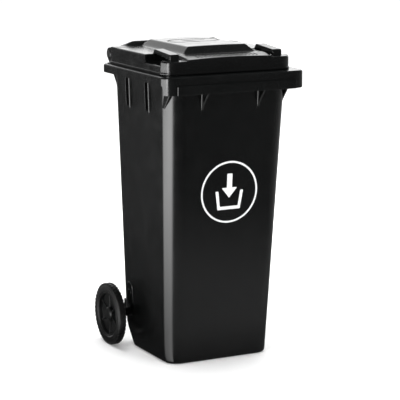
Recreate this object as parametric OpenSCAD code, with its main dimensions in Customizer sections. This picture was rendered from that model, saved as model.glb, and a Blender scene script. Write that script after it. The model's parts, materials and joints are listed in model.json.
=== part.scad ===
// Two-wheeled waste bin, about 120 litres, with a lid that swings right over to the back.
// Millimetres. +Z is up, the front faces -Y, and the origin is on the floor, under the
// middle of the bin's outer box.

/* [Rim and body] */
// Width of the rim, outside
rim_width = 480; // [420:5:560]
// Depth of the rim, front to back
rim_depth = 470; // [430:5:520]
// Height of the rim's top face above the floor
rim_top = 910; // [760:5:1000]
// Corner radius of the rim
rim_radius = 35; // [25:1:45]
// Thickness of the rim's ledge and skirt
rim_wall = 4; // [3:0.5:6]
// Depth of the skirt at the back of the rim
skirt_rear = 27; // [20:1:40]
// Depth of the skirt along the front of the rim
skirt_front = 54; // [44:1:70]
// How far the deep front skirt runs back along each side
skirt_return = 24; // [14:1:40]
// How far the lifting band stands proud of the front skirt
band_proud = 7; // [4:1:10]
// Height of the lifting band
band_height = 28; // [18:1:34]
// Half width of the lifting band
band_half = 203; // [150:1:204]
// Overhang of the rim past the mouth, at each side
overhang_side = 32; // [26:1:40]
// Overhang of the rim past the mouth, at the front
overhang_front = 37; // [28:1:46]
// Overhang of the rim past the mouth, at the back
overhang_rear = 6; // [4:1:12]
// Corner radius of the body at the mouth
mouth_radius = 57; // [45:1:70]
// Width of the body at the floor
foot_width = 354; // [320:2:380]
// Set-back of the body's front face at the floor, behind the rim's front face
foot_front = 106; // [80:2:130]
// Set-in of the body's rear face at the floor, ahead of the rim's rear face
foot_rear = 21; // [14:1:40]
// Corner radius of the body at the floor
foot_radius = 45; // [35:1:60]
// Wall thickness of the body
wall = 4; // [3:0.5:6]
// Thickness of the body's floor
floor_wall = 5; // [4:0.5:8]

/* [Ribs] */
// Distance of the front gussets from the middle
gusset_half = 96; // [70:1:120]
// Set-back of the corner gussets' free edge, behind the rim's front face
corner_gusset_back = 45; // [38:1:60]
// Thickness of each gusset and rib
rib_wall = 6; // [4:0.5:9]
// How far a gusset runs down below the skirt
gusset_drop = 48; // [30:1:70]
// Set-back of the first side rib, behind the rim's front face
side_rib_front = 194; // [150:1:230]
// Set-back of the second side rib
side_rib_rear = 331; // [290:1:370]
// How far a side rib stands out from the wall
side_rib_out = 12; // [8:1:18]
// Height of the foot of the side ribs below the rim's top face
side_rib_drop = 116; // [90:1:160]

/* [Lid] */
// Gap between the lid's side and the rim's edge
lid_inset_side = 22; // [18:1:26]
// Gap between the lid's front and the rim's front face
lid_inset_front = 42; // [34:1:46]
// Gap between the lid's back and the rim's rear face
lid_inset_rear = 22; // [18:1:30]
// Height of the lid's front edge above the rim
lid_edge = 41; // [34:1:50]
// Height of the lid's deck above the rim
lid_deck = 53; // [46:1:60]
// Height of the raised panel's top above the rim
lid_panel = 76; // [66:1:86]
// Wall thickness of the lid
lid_wall = 3.5; // [2.5:0.5:5]
// Corner radius at the front of the lid
lid_radius_front = 43; // [30:1:50]
// Corner radius at the back of the lid
lid_radius_rear = 17; // [10:1:24]
// Length of the sloping apron in front of the deck
apron = 58; // [40:1:70]
// Half width of the raised panel's top
panel_half = 99; // [80:1:110]
// Set-back of the raised panel's top, behind the lid's front
panel_front = 93; // [80:1:110]
// Depth of the raised panel's top, front to back
panel_depth = 262; // [200:2:280]
// How far the raised panel's sides spread towards their foot
panel_spread = 26; // [15:1:32]
// Depth of the shallow recess in the raised panel
panel_recess = 1.5; // [1:0.5:2]
// Radius of the ridge across the back of the lid
ridge_radius = 15; // [10:1:18]
// Half length of the ridge's straight part
ridge_half = 183; // [150:1:190]

/* [Lid grips] */
// Distance of a grip's inner face from the middle
grip_inner = 160; // [150:1:165]
// Distance of a grip's outer face from the middle
grip_outer = 191; // [184:1:196]
// Set-back of a grip's front face, behind the lid's front
grip_front = 28; // [22:1:34]
// Length of a grip's bar
grip_length = 108; // [96:1:120]
// Height of a grip's top above the rim, at its front
grip_top_front = 60; // [56:1:66]
// Height of a grip's top above the rim, at its back
grip_top_rear = 68; // [64:1:74]
// Thickness of a grip's bar and legs
grip_thick = 14; // [10:1:16]
// Height of the finger recess's floor above the rim
recess_floor = 27; // [22:1:30]
// Distance of the finger recess's inner wall from the middle
recess_inner = 148; // [138:1:149]

/* [Hinge and handle] */
// Distance of the hinge line behind the rim's front face
hinge_back = 520; // [515:1:540]
// Height of the hinge line above the rim's top face
hinge_up = 21.5; // [18:0.5:26]
// Radius of the round end of each hinge lug
lug_radius = 20; // [17:0.5:24]
// How far a hinge lug's foot lies below the rim's top face
lug_drop = 78; // [50:1:95]
// Thickness of each hinge lug
lug_wall = 13; // [10:0.5:16]
// Distance of the outer lug's outer face from the middle
lug_outer = 186; // [176:1:200]
// Width of each hinge eye on the lid
eye_width = 28; // [20:1:34]
// Radius of each hinge eye
eye_radius = 16; // [13:0.5:18]
// Gap at each side of a hinge eye
eye_side_gap = 1.5; // [0.5:0.5:3]
// Diameter of the handle bar
handle_d = 28; // [24:1:32]
// Diameter of the hinge pins
pin_d = 12; // [10:0.5:14]
// Diameter of a hinge pin's head
pin_head_d = 24; // [20:1:28]
// Thickness of a hinge pin's head
pin_head = 3; // [2:0.5:4]
// Depth of the hinge pin's seat inside the handle bar
pin_reach = 12; // [8:1:20]

/* [Axle and wheels] */
// Diameter of the wheels
wheel_d = 200; // [180:2:250]
// Width of a tyre
tyre_width = 26; // [22:1:40]
// Distance of a tyre's outer face from the middle
wheel_outer = 244; // [240:1:260]
// Inner radius of a tyre
tyre_seat = 71; // [62:1:78]
// Rounding of a tyre's shoulders
tyre_shoulder = 6; // [3:1:9]
// Distance of the axle behind the rim's front face
axle_back = 430; // [410:1:434]
// Diameter of the axle
axle_d = 20; // [16:1:24]
// Radius of the axle bosses on the body
boss_radius = 15; // [14:0.5:20]
// How far the axle bosses reach out from the middle
boss_out = 184; // [182:1:190]
// Thickness of the cheeks that carry the axle
cheek_wall = 12; // [8:1:16]
// How far the axle's tunnel reaches ahead of the axle
tunnel_depth = 76; // [74:1:90]
// How far ahead of the axle the cheeks are cut back, at the floor
cheek_cut = 70; // [26:1:70]
// How far ahead of the axle the cheeks are cut back, just below it
cheek_cut_head = 4; // [2:1:12]
// Radius of the swelling on each side wall, ahead of the axle
housing_radius = 20; // [14:1:24]
// How far that swelling stands out from the side wall, at the axle's height
housing_out = 6; // [3:0.5:8]
// How far that swelling lies ahead of the axle
housing_ahead = 47; // [40:1:60]
// Height of that swelling's top above the floor
housing_top = 212; // [180:2:260]
// Outer diameter of the spacer sleeves
spacer_d = 26; // [24:1:32]
// Thickness of the washers
washer = 2; // [1.5:0.5:3]
// Outer diameter of the washers
washer_d = 36; // [32:1:42]
// Length of a wheel's hub
hub_length = 30; // [26:1:36]
// Outer radius of a wheel's hub
hub_radius = 20; // [19:0.5:24]
// How far a hub's outer end lies inside the tyre's outer face
hub_set = 12.5; // [12:0.5:16]
// Wall thickness of the plastic bushes
bush_wall = 3; // [2:0.5:4]
// Width of the wheel's rim barrel
barrel_width = 22; // [18:1:22]
// Thickness of the wheel's barrel, web and ribs
wheel_wall = 4; // [3:0.5:6]
// Number of ribs on a wheel
wheel_ribs = 6; // [4:1:9]
// Gap between a hub's end and the washer next to it
hub_play = 0.3; // [0.2:0.1:0.6]
// Length of the hub cap, from its open edge to its face
cap_length = 14; // [13:0.5:15]
// Wall thickness of the hub cap
cap_wall = 2; // [1.5:0.5:3]

/* [Hidden] */
$fn = 72;

run_fit = 0.06;    // radial clearance of a part that turns on a pin or axle
seat_fit = 0.03;   // radial clearance of a part that is pushed on or in and stays
butt = 0.3;        // gap between flat faces of pieces that lie against each other
slab = 0.5;        // thickness of the slabs that a tapered wall runs between
past = 1;          // how far a cut runs past the face that it opens
web_set = 2;       // how far a wheel's web lies outside the barrel's inner edge
foot_inset = 10;   // how far a corner gusset's foot runs each side of the corner's start

shell_colour = [0.11, 0.12, 0.12];
rubber_colour = [0.07, 0.07, 0.07];
steel_colour = [0.62, 0.64, 0.66];

overall_depth = band_proud + hinge_back + lug_radius;
rim_y = -overall_depth / 2 + band_proud;      // the rim's front face
rim_rear = rim_y + rim_depth;
mouth_width = rim_width - 2 * overhang_side;
mouth_y = rim_y + overhang_front;
mouth_rear = rim_rear - overhang_rear;
foot_y = rim_y + foot_front;
foot_back = rim_rear - foot_rear;

hinge_y = rim_y + hinge_back;
hinge_z = rim_top + hinge_up;
inner_lug_out = lug_outer - lug_wall - 2 * eye_side_gap - eye_width;
inner_lug_in = inner_lug_out - lug_wall;
eye_outer = lug_outer - lug_wall - eye_side_gap;
pin_end = inner_lug_in - pin_reach;

lid_bottom = rim_top + butt;
lid_half = rim_width / 2 - lid_inset_side;
lid_y = rim_y + lid_inset_front;
lid_back = rim_rear - lid_inset_rear;
deck_y = lid_y + apron;
edge_z = rim_top + lid_edge;
deck_z = rim_top + lid_deck;
panel_z = rim_top + lid_panel;
panel_y = lid_y + panel_front;
panel_back = panel_y + panel_depth;
grip_y = lid_y + grip_front;
grip_back = grip_y + grip_length;
recess_z = rim_top + recess_floor;
recess_y = grip_y + grip_thick / 2;
recess_back = grip_back + grip_thick / 2;
ridge_y = lid_back - ridge_radius;

axle_y = rim_y + axle_back;
axle_z = wheel_d / 2;
tunnel_y = axle_y - tunnel_depth;             // the front face of the axle's tunnel
tunnel_z = axle_z + boss_radius + 6;          // the top of the axle's tunnel
hub_out = wheel_outer - hub_set;
hub_in = hub_out - hub_length;
spacer_out = hub_in - hub_play - washer - butt;
ring_in = hub_out + hub_play + washer + butt;
axle_half = ring_in + washer + 3;
barrel_in = wheel_outer - tyre_width / 2 - barrel_width / 2;
barrel_out = barrel_in + barrel_width;
cap_in = hub_out - 4;
cap_out = cap_in + cap_length;

// A plate with rounded corners, from front y0 to back y1, with its own radius at each end.
module rounded_plate(width, y0, y1, front_r, rear_r, height) {
    linear_extrude(height) union() {
        for (side = [-1, 1]) {
            translate([side * (width / 2 - front_r), y0 + front_r]) circle(front_r);
            translate([side * (width / 2 - rear_r), y1 - rear_r]) circle(rear_r);
        }
        inner = max(front_r, rear_r);
        translate([-width / 2 + front_r, y0]) square([width - 2 * front_r, inner]);
        translate([-width / 2 + rear_r, y1 - inner]) square([width - 2 * rear_r, inner]);
        translate([-width / 2, y0 + front_r]) square([width, y1 - rear_r - y0 - front_r]);
    }
}

// An outline in (y, z), run along X from x0 to x1.
module along_x(x0, x1) {
    translate([x0, 0, 0]) rotate([90, 0, 90]) linear_extrude(x1 - x0) children();
}

// An outline in (x, z), run along Y from y0 to y1.
module along_y(y0, y1) {
    translate([0, y1, 0]) rotate([90, 0, 0]) linear_extrude(y1 - y0) children();
}

// A tube or rod on the X axis from x0 to x1, at the height and depth of a shaft.
module rod(x0, x1, radius, y, z) {
    translate([x0, y, z]) rotate([0, 90, 0]) cylinder(h = x1 - x0, r = radius);
}

module ring(x0, x1, radius, hole, y, z) {
    difference() {
        rod(x0, x1, radius, y, z);
        rod(x0 - past, x1 + past, hole, y, z);
    }
}

// Puts a copy of its children at each side.
module both_sides() {
    children();
    mirror([1, 0, 0]) children();
}

// How far the body's side wall, front wall and rear wall stand at a height.
function side_at(z) = foot_width / 2 + (mouth_width - foot_width) / 2 * z / rim_top;
function front_at(z) = foot_y + (mouth_y - foot_y) * z / rim_top;
function rear_at(z) = foot_back + (mouth_rear - foot_back) * z / rim_top;

// The tapered body as a solid, shrunk by an inset on every side.
module tapered(inset, z0, z1) {
    hull() {
        translate([0, 0, z0])
            rounded_plate(foot_width - 2 * inset, foot_y + inset, foot_back - inset,
                          foot_radius - inset, foot_radius - inset, slab);
        translate([0, 0, z1 - slab])
            rounded_plate(mouth_width - 2 * inset, mouth_y + inset, mouth_rear - inset,
                          mouth_radius - inset, mouth_radius - inset, slab);
    }
}

// The skirt is deep across the front and shallow along the sides and the back.
module skirt_cut() {
    low = rim_top - skirt_front - past;
    high = rim_top - skirt_rear;
    along_x(-rim_width, rim_width)
        polygon([[rim_y + skirt_return, low], [rim_y + skirt_return, high],
                 [rim_rear + past, high], [rim_rear + past, low]]);
}

module rim() {
    difference() {
        translate([0, 0, rim_top - skirt_front])
            rounded_plate(rim_width, rim_y, rim_rear, rim_radius, rim_radius, skirt_front);
        translate([0, 0, rim_top - skirt_front - past])
            rounded_plate(rim_width - 2 * rim_wall, rim_y + rim_wall, rim_rear - rim_wall,
                          rim_radius - rim_wall, rim_radius - rim_wall,
                          skirt_front + past - rim_wall);
        skirt_cut();
    }
    // the proud band that a lifting comb takes hold of
    translate([0, 0, rim_top - skirt_front])
        rounded_plate(2 * band_half, rim_y - band_proud, rim_y + rim_wall,
                      band_proud - 2, 2, band_height);
}

module front_gusset(x) {
    foot = rim_top - skirt_front - gusset_drop;
    along_x(x - rib_wall / 2, x + rib_wall / 2)
        polygon([[rim_y + rim_wall / 2, rim_top - rim_wall / 2],
                 [rim_y + rim_wall / 2, rim_top - skirt_front],
                 [front_at(foot), foot],
                 [mouth_y + mouth_radius, foot],
                 [mouth_y + mouth_radius, rim_top - rim_wall / 2]]);
}

// A gusset in line with the side wall, at the front corner.
module corner_gusset() {
    foot = rim_top - skirt_front - gusset_drop;
    face = side_at(foot);
    root = mouth_y + mouth_radius;
    along_x(face - rib_wall, face)
        polygon([[rim_y + corner_gusset_back, rim_top - rim_wall / 2],
                 [rim_y + corner_gusset_back, rim_top - skirt_front],
                 [root - foot_inset, foot], [root + foot_inset, foot],
                 [root + foot_inset, rim_top - rim_wall / 2]]);
}

module side_rib(y) {
    foot = rim_top - side_rib_drop;
    head = rim_top - rim_wall / 2;
    along_y(y - rib_wall / 2, y + rib_wall / 2)
        polygon([[side_at(foot) - wall, foot - side_rib_out], [side_at(foot), foot - side_rib_out],
                 [side_at(foot) + side_rib_out, foot],
                 [side_at(head) + side_rib_out, head], [side_at(head) - wall, head]]);
}

// A rounded swelling of each side wall, ahead of the axle.
module axle_housing() {
    centre = side_at(axle_z) + housing_out - housing_radius;
    translate([centre, axle_y - housing_ahead, floor_wall + foot_radius])
        cylinder(h = housing_top - housing_radius - floor_wall - foot_radius,
                 r = housing_radius);
    translate([centre, axle_y - housing_ahead, housing_top - housing_radius])
        sphere(housing_radius);
}

// One hinge lug: a plate from the back of the rim to the round end at the hinge line.
module lug(x0, x1) {
    root = rim_top - lug_drop;
    slant = lug_radius * sin(45);
    along_x(x0, x1) union() {
        translate([hinge_y, hinge_z]) circle(lug_radius);
        polygon([[mouth_rear - wall, rim_top - rim_wall],
                 [hinge_y - slant, hinge_z + slant],
                 [hinge_y + slant, hinge_z - slant],
                 [mouth_rear - wall, root]]);
    }
}

module handle() {
    both_sides() {
        lug(lug_outer - lug_wall, lug_outer);
        lug(inner_lug_in, inner_lug_out);
    }
    rod(-inner_lug_in - past, inner_lug_in + past, handle_d / 2, hinge_y, hinge_z);
}

// The space at the foot of the rear wall that the axle crosses.
module axle_tunnel() {
    inside = side_at(0) - cheek_wall;
    along_x(-inside, inside)
        polygon([[tunnel_y, -past], [tunnel_y, tunnel_z - 12], [tunnel_y + 12, tunnel_z],
                 [rim_rear, tunnel_z + 14], [rim_rear, -past]]);
    // the cheeks stop short of the rear wall below the axle
    along_x(-rim_width, rim_width) difference() {
        polygon([[axle_y - cheek_cut, -past],
                 [axle_y - cheek_cut_head, axle_z - boss_radius / 2],
                 [rim_rear + past, axle_z - boss_radius / 2], [rim_rear + past, -past]]);
        translate([axle_y, axle_z]) circle(boss_radius);
    }
}

// The wall that closes the body round the axle's tunnel, and the thick foot behind it.
module tunnel_wall() {
    along_x(-rim_width, rim_width)
        polygon([[tunnel_y - wall, 0], [tunnel_y - wall, tunnel_z - 10],
                 [tunnel_y + 10, tunnel_z + wall],
                 [rim_rear, tunnel_z + 14 + wall], [rim_rear, 0]]);
}

module body() {
    color(shell_colour) difference() {
        union() {
            tapered(0, 0, rim_top);
            rim();
            both_sides() {
                front_gusset(gusset_half);
                corner_gusset();
                side_rib(rim_y + side_rib_front);
                side_rib(rim_y + side_rib_rear);
                axle_housing();
                rod(side_at(0) - cheek_wall, boss_out, boss_radius, axle_y, axle_z);
            }
            handle();
        }
        difference() {
            tapered(wall, floor_wall, rim_top + past);
            tunnel_wall();
        }
        axle_tunnel();
        rod(-rim_width, rim_width, axle_d / 2 + run_fit, axle_y, axle_z);
        both_sides() {
            rod(pin_end - past, lug_outer + past, pin_d / 2 + seat_fit, hinge_y, hinge_z);
            rod(lug_outer - pin_head + past, lug_outer + past, pin_head_d / 2 + butt,
                hinge_y, hinge_z);
        }
    }
}

// The lid's moulding as a solid, shrunk by an inset on every side.
module lid_form(inset) {
    z0 = inset > 0 ? lid_bottom - past : lid_bottom;
    far = lid_half + past;
    intersection() {
        translate([0, 0, z0])
            rounded_plate(2 * (lid_half - inset), lid_y + inset, lid_back - inset,
                          lid_radius_front - inset, lid_radius_rear - inset,
                          panel_z - z0);
        union() {
            // the low floor that also makes the finger recesses
            along_x(-far, far)
                polygon([[lid_y - past, z0], [lid_y - past, recess_z - inset],
                         [lid_back + past, recess_z - inset], [lid_back + past, z0]]);
            // the apron and the deck
            along_x(-recess_inner + inset, recess_inner - inset)
                polygon([[lid_y - past, z0], [lid_y - past, edge_z - inset],
                         [deck_y, deck_z - inset], [lid_back + past, deck_z - inset],
                         [lid_back + past, z0]]);
            // the strip along the front, ahead of the recesses
            along_x(-far, far)
                polygon([[lid_y - past, z0], [lid_y - past, edge_z - inset],
                         [recess_y - inset, edge_z - inset], [recess_y - inset, z0]]);
            // the shoulders behind the recesses
            along_x(-far, far)
                polygon([[recess_back + inset, z0], [recess_back + inset, deck_z - inset],
                         [lid_back + past, deck_z - inset], [lid_back + past, z0]]);
        }
    }
    lid_panel_form(inset);
}

// The raised panel: the common part of two ridge-shaped prisms.
module lid_panel_form(inset) {
    base = deck_z - inset - past;
    top = panel_z - inset;
    intersection() {
        along_y(panel_y - panel_spread - past, panel_back + panel_spread + past)
            polygon([[-panel_half - panel_spread + inset, base], [-panel_half + inset, top],
                     [panel_half - inset, top], [panel_half + panel_spread - inset, base]]);
        along_x(-panel_half - panel_spread, panel_half + panel_spread)
            polygon([[panel_y - panel_spread + inset, base], [panel_y + inset, top],
                     [panel_back - inset, top], [panel_back + panel_spread - inset, base]]);
    }
}

// The shallow long recess with round ends in the top of the panel.
module panel_mark() {
    half = panel_half - 55;
    radius = 38;
    y = (panel_y + panel_back) / 2 + 12;
    translate([0, 0, panel_z - panel_recess]) linear_extrude(panel_recess + past) union() {
        translate([-half, y - radius]) square([2 * half, 2 * radius]);
        for (side = [-1, 1]) translate([side * half, y]) circle(radius);
    }
}

// One grip: a bar from front to back over a finger recess.
module grip() {
    front_top = rim_top + grip_top_front;
    rear_top = rim_top + grip_top_rear;
    along_x(grip_inner, grip_outer)
        polygon([[grip_y, edge_z - lid_wall], [grip_y, front_top],
                 [grip_back, rear_top], [grip_back + grip_thick, deck_z - lid_wall],
                 [recess_back, deck_z - lid_wall], [grip_back - 1, rear_top - grip_thick],
                 [grip_y + grip_thick, front_top - grip_thick],
                 [recess_y, edge_z - lid_wall]]);
}

// A hinge eye and the arm that carries it.
module hinge_eye() {
    along_x(eye_outer - eye_width, eye_outer) difference() {
        union() {
            translate([hinge_y, hinge_z]) circle(eye_radius);
            polygon([[lid_back - lid_wall, rim_top + hinge_up - eye_radius],
                     [lid_back - lid_wall, deck_z - lid_wall],
                     [hinge_y - 4, hinge_z + eye_radius * 0.96],
                     [hinge_y - 4, hinge_z - eye_radius * 0.96]]);
        }
        translate([hinge_y, hinge_z]) circle(pin_d / 2 + run_fit);
    }
}

module ridge() {
    rod(-ridge_half, ridge_half, ridge_radius, ridge_y, deck_z);
    both_sides() translate([ridge_half, ridge_y, deck_z]) sphere(ridge_radius);
}

module lid() {
    color(shell_colour) {
        difference() {
            union() {
                lid_form(0);
                ridge();
                both_sides() grip();
            }
            lid_form(lid_wall);
            panel_mark();
        }
        both_sides() hinge_eye();
    }
}

// A hinge pin, drawn on the right: head, shank and a tapered tip.
module hinge_pin() {
    head_in = lug_outer - pin_head + past + butt;
    translate([0, hinge_y, hinge_z]) rotate([0, 90, 0]) rotate_extrude()
        polygon([[0, pin_end], [pin_d / 2 - 2, pin_end], [pin_d / 2, pin_end + 3],
                 [pin_d / 2, head_in], [pin_head_d / 2, head_in],
                 [pin_head_d / 2, head_in + pin_head - 1],
                 [pin_head_d / 2 - 1, head_in + pin_head], [0, head_in + pin_head]]);
}

module axle() {
    color(steel_colour) rod(-axle_half, axle_half, axle_d / 2, axle_y, axle_z);
}

module spacer() {
    color(shell_colour)
        ring(boss_out + butt, spacer_out, spacer_d / 2, axle_d / 2 + run_fit, axle_y, axle_z);
}

module inner_washer() {
    color(steel_colour)
        ring(spacer_out + butt, spacer_out + butt + washer, washer_d / 2,
             axle_d / 2 + run_fit, axle_y, axle_z);
}

module outer_washer() {
    color(steel_colour)
        ring(hub_out + hub_play, hub_out + hub_play + washer, washer_d / 2,
             axle_d / 2 + run_fit, axle_y, axle_z);
}

// The push-on ring that keeps a wheel on its axle.
module retaining_ring() {
    color(steel_colour)
        ring(ring_in, ring_in + washer, axle_d / 2 + 4, axle_d / 2 + seat_fit, axle_y, axle_z);
}

module bush() {
    color("ivory")
        ring(hub_in, hub_out, axle_d / 2 + bush_wall, axle_d / 2 + run_fit, axle_y, axle_z);
}

// Hub, web, ribs and barrel of a wheel, moulded in one.
module wheel_disc() {
    web_in = barrel_in + web_set;
    barrel_r = tyre_seat - seat_fit;
    color(shell_colour) difference() {
        union() {
            rod(hub_in, hub_out, hub_radius, axle_y, axle_z);
            rod(web_in, web_in + wheel_wall, barrel_r - past, axle_y, axle_z);
            ring(barrel_in, barrel_out, barrel_r, barrel_r - wheel_wall, axle_y, axle_z);
            translate([0, axle_y, axle_z]) for (i = [0 : wheel_ribs - 1])
                rotate([360 * i / wheel_ribs, 0, 0])
                    translate([web_in, -wheel_wall / 2, hub_radius - past])
                        cube([barrel_out - 6 - web_in, wheel_wall,
                              barrel_r - hub_radius - wheel_wall + 2 * past]);
        }
        rod(hub_in - past, hub_out + past, axle_d / 2 + bush_wall + seat_fit, axle_y, axle_z);
        // room between the ribs' ends and the hub for the cap's collar
        ring(cap_in - butt, barrel_out + past, hub_radius + cap_wall + butt, hub_radius,
             axle_y, axle_z);
    }
}

// A solid rubber tyre with rounded shoulders and a groove round the tread.
module tyre() {
    outer = wheel_d / 2;
    inside = wheel_outer - tyre_width;
    round = tyre_shoulder;
    groove = 3;
    color(rubber_colour) difference() {
        translate([0, axle_y, axle_z]) rotate([0, 90, 0]) rotate_extrude($fn = 96) union() {
            translate([tyre_seat, inside]) square([outer - round - tyre_seat, tyre_width]);
            translate([tyre_seat, inside + round])
                square([outer - tyre_seat, tyre_width - 2 * round]);
            translate([outer - round, inside + round]) circle(round, $fn = 24);
            translate([outer - round, wheel_outer - round]) circle(round, $fn = 24);
        }
        ring(inside + tyre_width / 2 - groove / 2, inside + tyre_width / 2 + groove / 2,
             outer + past, outer - groove, axle_y, axle_z);
    }
}

// The snap-in cap over the hub's outer end.
module hub_cap() {
    bore = hub_radius + seat_fit;
    slope = 3;
    color(shell_colour)
        translate([0, axle_y, axle_z]) rotate([0, 90, 0]) rotate_extrude()
            polygon([[bore, cap_in], [bore + cap_wall, cap_in],
                     [bore + cap_wall, cap_out - slope], [bore + cap_wall - slope, cap_out],
                     [0, cap_out], [0, cap_out - cap_wall],
                     [bore - slope, cap_out - cap_wall], [bore, cap_out - cap_wall - slope]]);
}

body();
lid();
mirror([1, 0, 0]) color(shell_colour) hinge_pin();  // hinge_pin_left
color(shell_colour) hinge_pin();  // hinge_pin_right
axle();
mirror([1, 0, 0]) spacer();  // spacer_left
mirror([1, 0, 0]) inner_washer();  // inner_washer_left
mirror([1, 0, 0]) bush();  // bush_left
mirror([1, 0, 0]) wheel_disc();  // wheel_disc_left
mirror([1, 0, 0]) tyre();  // tyre_left
mirror([1, 0, 0]) outer_washer();  // outer_washer_left
mirror([1, 0, 0]) retaining_ring();  // retaining_ring_left
mirror([1, 0, 0]) hub_cap();  // hub_cap_left
spacer();  // spacer_right
inner_washer();  // inner_washer_right
bush();  // bush_right
wheel_disc();  // wheel_disc_right
tyre();  // tyre_right
outer_washer();  // outer_washer_right
retaining_ring();  // retaining_ring_right
hub_cap();  // hub_cap_right
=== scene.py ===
"""A two-wheeled waste bin of about 120 litres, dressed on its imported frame.

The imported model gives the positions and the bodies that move. The classes below make the
mouldings, the wheels and the print in mesh code, give every piece its finish, and set up a plain
studio. All sizes are metres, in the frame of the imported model.
"""

import json
import logging
import math
from collections.abc import Callable, Iterable, Sequence
from dataclasses import astuple, dataclass, field
from enum import Enum

import bmesh
import bpy
from mathutils import Matrix, Vector

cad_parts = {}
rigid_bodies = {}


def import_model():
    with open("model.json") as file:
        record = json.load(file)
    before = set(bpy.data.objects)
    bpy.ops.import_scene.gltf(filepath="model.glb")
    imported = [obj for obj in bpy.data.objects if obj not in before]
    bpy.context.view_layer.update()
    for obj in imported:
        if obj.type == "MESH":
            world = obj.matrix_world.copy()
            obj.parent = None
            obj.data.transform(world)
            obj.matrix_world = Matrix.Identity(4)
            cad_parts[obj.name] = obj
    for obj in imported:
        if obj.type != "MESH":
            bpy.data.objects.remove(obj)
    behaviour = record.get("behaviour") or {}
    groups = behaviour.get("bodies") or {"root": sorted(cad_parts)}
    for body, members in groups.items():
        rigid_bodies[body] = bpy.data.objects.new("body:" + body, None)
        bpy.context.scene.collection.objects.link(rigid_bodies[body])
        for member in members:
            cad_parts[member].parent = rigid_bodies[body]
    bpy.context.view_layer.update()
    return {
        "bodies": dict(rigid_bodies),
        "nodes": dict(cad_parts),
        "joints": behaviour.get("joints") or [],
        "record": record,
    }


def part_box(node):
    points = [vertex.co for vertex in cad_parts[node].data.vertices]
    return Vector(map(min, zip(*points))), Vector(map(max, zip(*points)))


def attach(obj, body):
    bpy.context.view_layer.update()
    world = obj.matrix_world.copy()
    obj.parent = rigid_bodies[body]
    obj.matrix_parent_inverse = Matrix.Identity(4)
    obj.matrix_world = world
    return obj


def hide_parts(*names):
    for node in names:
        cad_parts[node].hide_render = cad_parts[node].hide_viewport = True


log = logging.getLogger("bin")

MM = 0.001
Point = tuple[float, float]
Piece = bpy.types.Object
Node = bpy.types.Node
Socket = bpy.types.NodeSocket
Vert = bmesh.types.BMVert


# --- Colours, node graphs and finishes ---


def linear(code: str) -> tuple[float, float, float, float]:
    """The linear colour of an sRGB hex code."""
    channels = [int(code[i : i + 2], 16) / 255 for i in (1, 3, 5)]
    red, green, blue = (
        c / 12.92 if c <= 0.04045 else ((c + 0.055) / 1.055) ** 2.4 for c in channels
    )
    return red, green, blue, 1.0


class Graph:
    """The node tree of a material or of the world, built a node at a time."""

    def __init__(self, owner: bpy.types.Material | bpy.types.World) -> None:
        """Empties an owner's node tree and takes it."""
        owner.use_nodes = True
        self.owner = owner
        self.tree = owner.node_tree
        self.tree.nodes.clear()

    def add(self, kind: str, inputs: dict | Sequence = (), **settings: object) -> Node:
        """Adds a node with its settings, values and links.

        Args:
            kind: the node's type name, after its common start.
            inputs: the inputs by name, or in order: each a value, an output, or a node whose
                first output in use is meant.
            settings: the node's own properties.

        Returns:
            The new node.
        """
        node = self.tree.nodes.new(f"ShaderNode{kind}")
        for key, value in settings.items():
            setattr(node, key, value)
        named = inputs.items() if isinstance(inputs, dict) else enumerate(inputs)
        for key, value in named:
            socket = next(s for i, s in enumerate(node.inputs) if s.enabled and key in (i, s.name))
            if isinstance(value, Node):
                value = next(s for s in value.outputs if s.enabled)
            if isinstance(value, Socket):
                self.tree.links.new(value, socket)
            else:
                socket.default_value = value
        return node


WHITE = (1.0, 1.0, 1.0, 1.0)
# nearly all of a noise lies between these two values
NOISE_SPAN = (0.3, 0.7)
Reliefs = tuple[tuple[float, int, float], ...]


@dataclass(frozen=True)
class Surface:
    """What every finish has: a tone and a gloss that drift together, over fine reliefs.

    The tones and the roughness are given for both ends of the drift. The cloud is the drift's
    size and detail, and each relief is a size, a detail and a depth, the coarsest first.
    """

    name: str
    tones: tuple[str, str]
    roughness: Point
    cloud: tuple[float, int]
    reliefs: Reliefs = ()
    metallic: float = 0.0

    def drift(self, graph: Graph, place: Socket, cloud: Node) -> Node:
        """What takes the colour from one tone to the other: here, the cloud."""
        return graph.add("MapRange", (cloud, *NOISE_SPAN, 0, 1))

    def build(self) -> bpy.types.Material:
        """Makes the material."""
        graph = Graph(bpy.data.materials.new(self.name))
        place = graph.add("TexCoord").outputs["Object"]
        cloud, *reliefs = (
            graph.add("TexNoise", {"Vector": place, "Scale": 1 / size, "Detail": detail})
            for size, detail, *_ in (self.cloud, *self.reliefs)
        )
        first, last = (linear(tone) for tone in self.tones)
        factor = self.drift(graph, place, cloud)
        skin: dict = {}
        for height, (*_, depth) in zip(reliefs, self.reliefs, strict=True):
            inputs = {"Height": height, "Distance": depth, "Strength": 1.0, **skin}
            skin = {"Normal": graph.add("Bump", inputs)}
        skin |= {
            "Base Color": graph.add(
                "Mix", {"Factor": factor, "A": first, "B": last}, data_type="RGBA"
            ),
            "Roughness": graph.add("MapRange", (cloud, *NOISE_SPAN, *self.roughness)),
            "Metallic": self.metallic,
        }
        graph.add("OutputMaterial", {"Surface": graph.add("BsdfPrincipled", skin)})
        return graph.owner


@dataclass(frozen=True)
class MouldedHdpe(Surface):
    """Injection-moulded HDPE, black, semi-gloss: a fine grain over a slow waviness."""

    name: str = "moulded_black_hdpe"
    tones: tuple[str, str] = ("#060707", "#0a0b0b")
    roughness: Point = (0.17, 0.24)
    cloud: tuple[float, int] = (45 * MM, 4)
    # the wall's sink marks bend the highlights, and the mould's spark grain breaks them up
    reliefs: Reliefs = ((90 * MM, 1, 0.05 * MM), (0.9 * MM, 2, 0.006 * MM))


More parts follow.
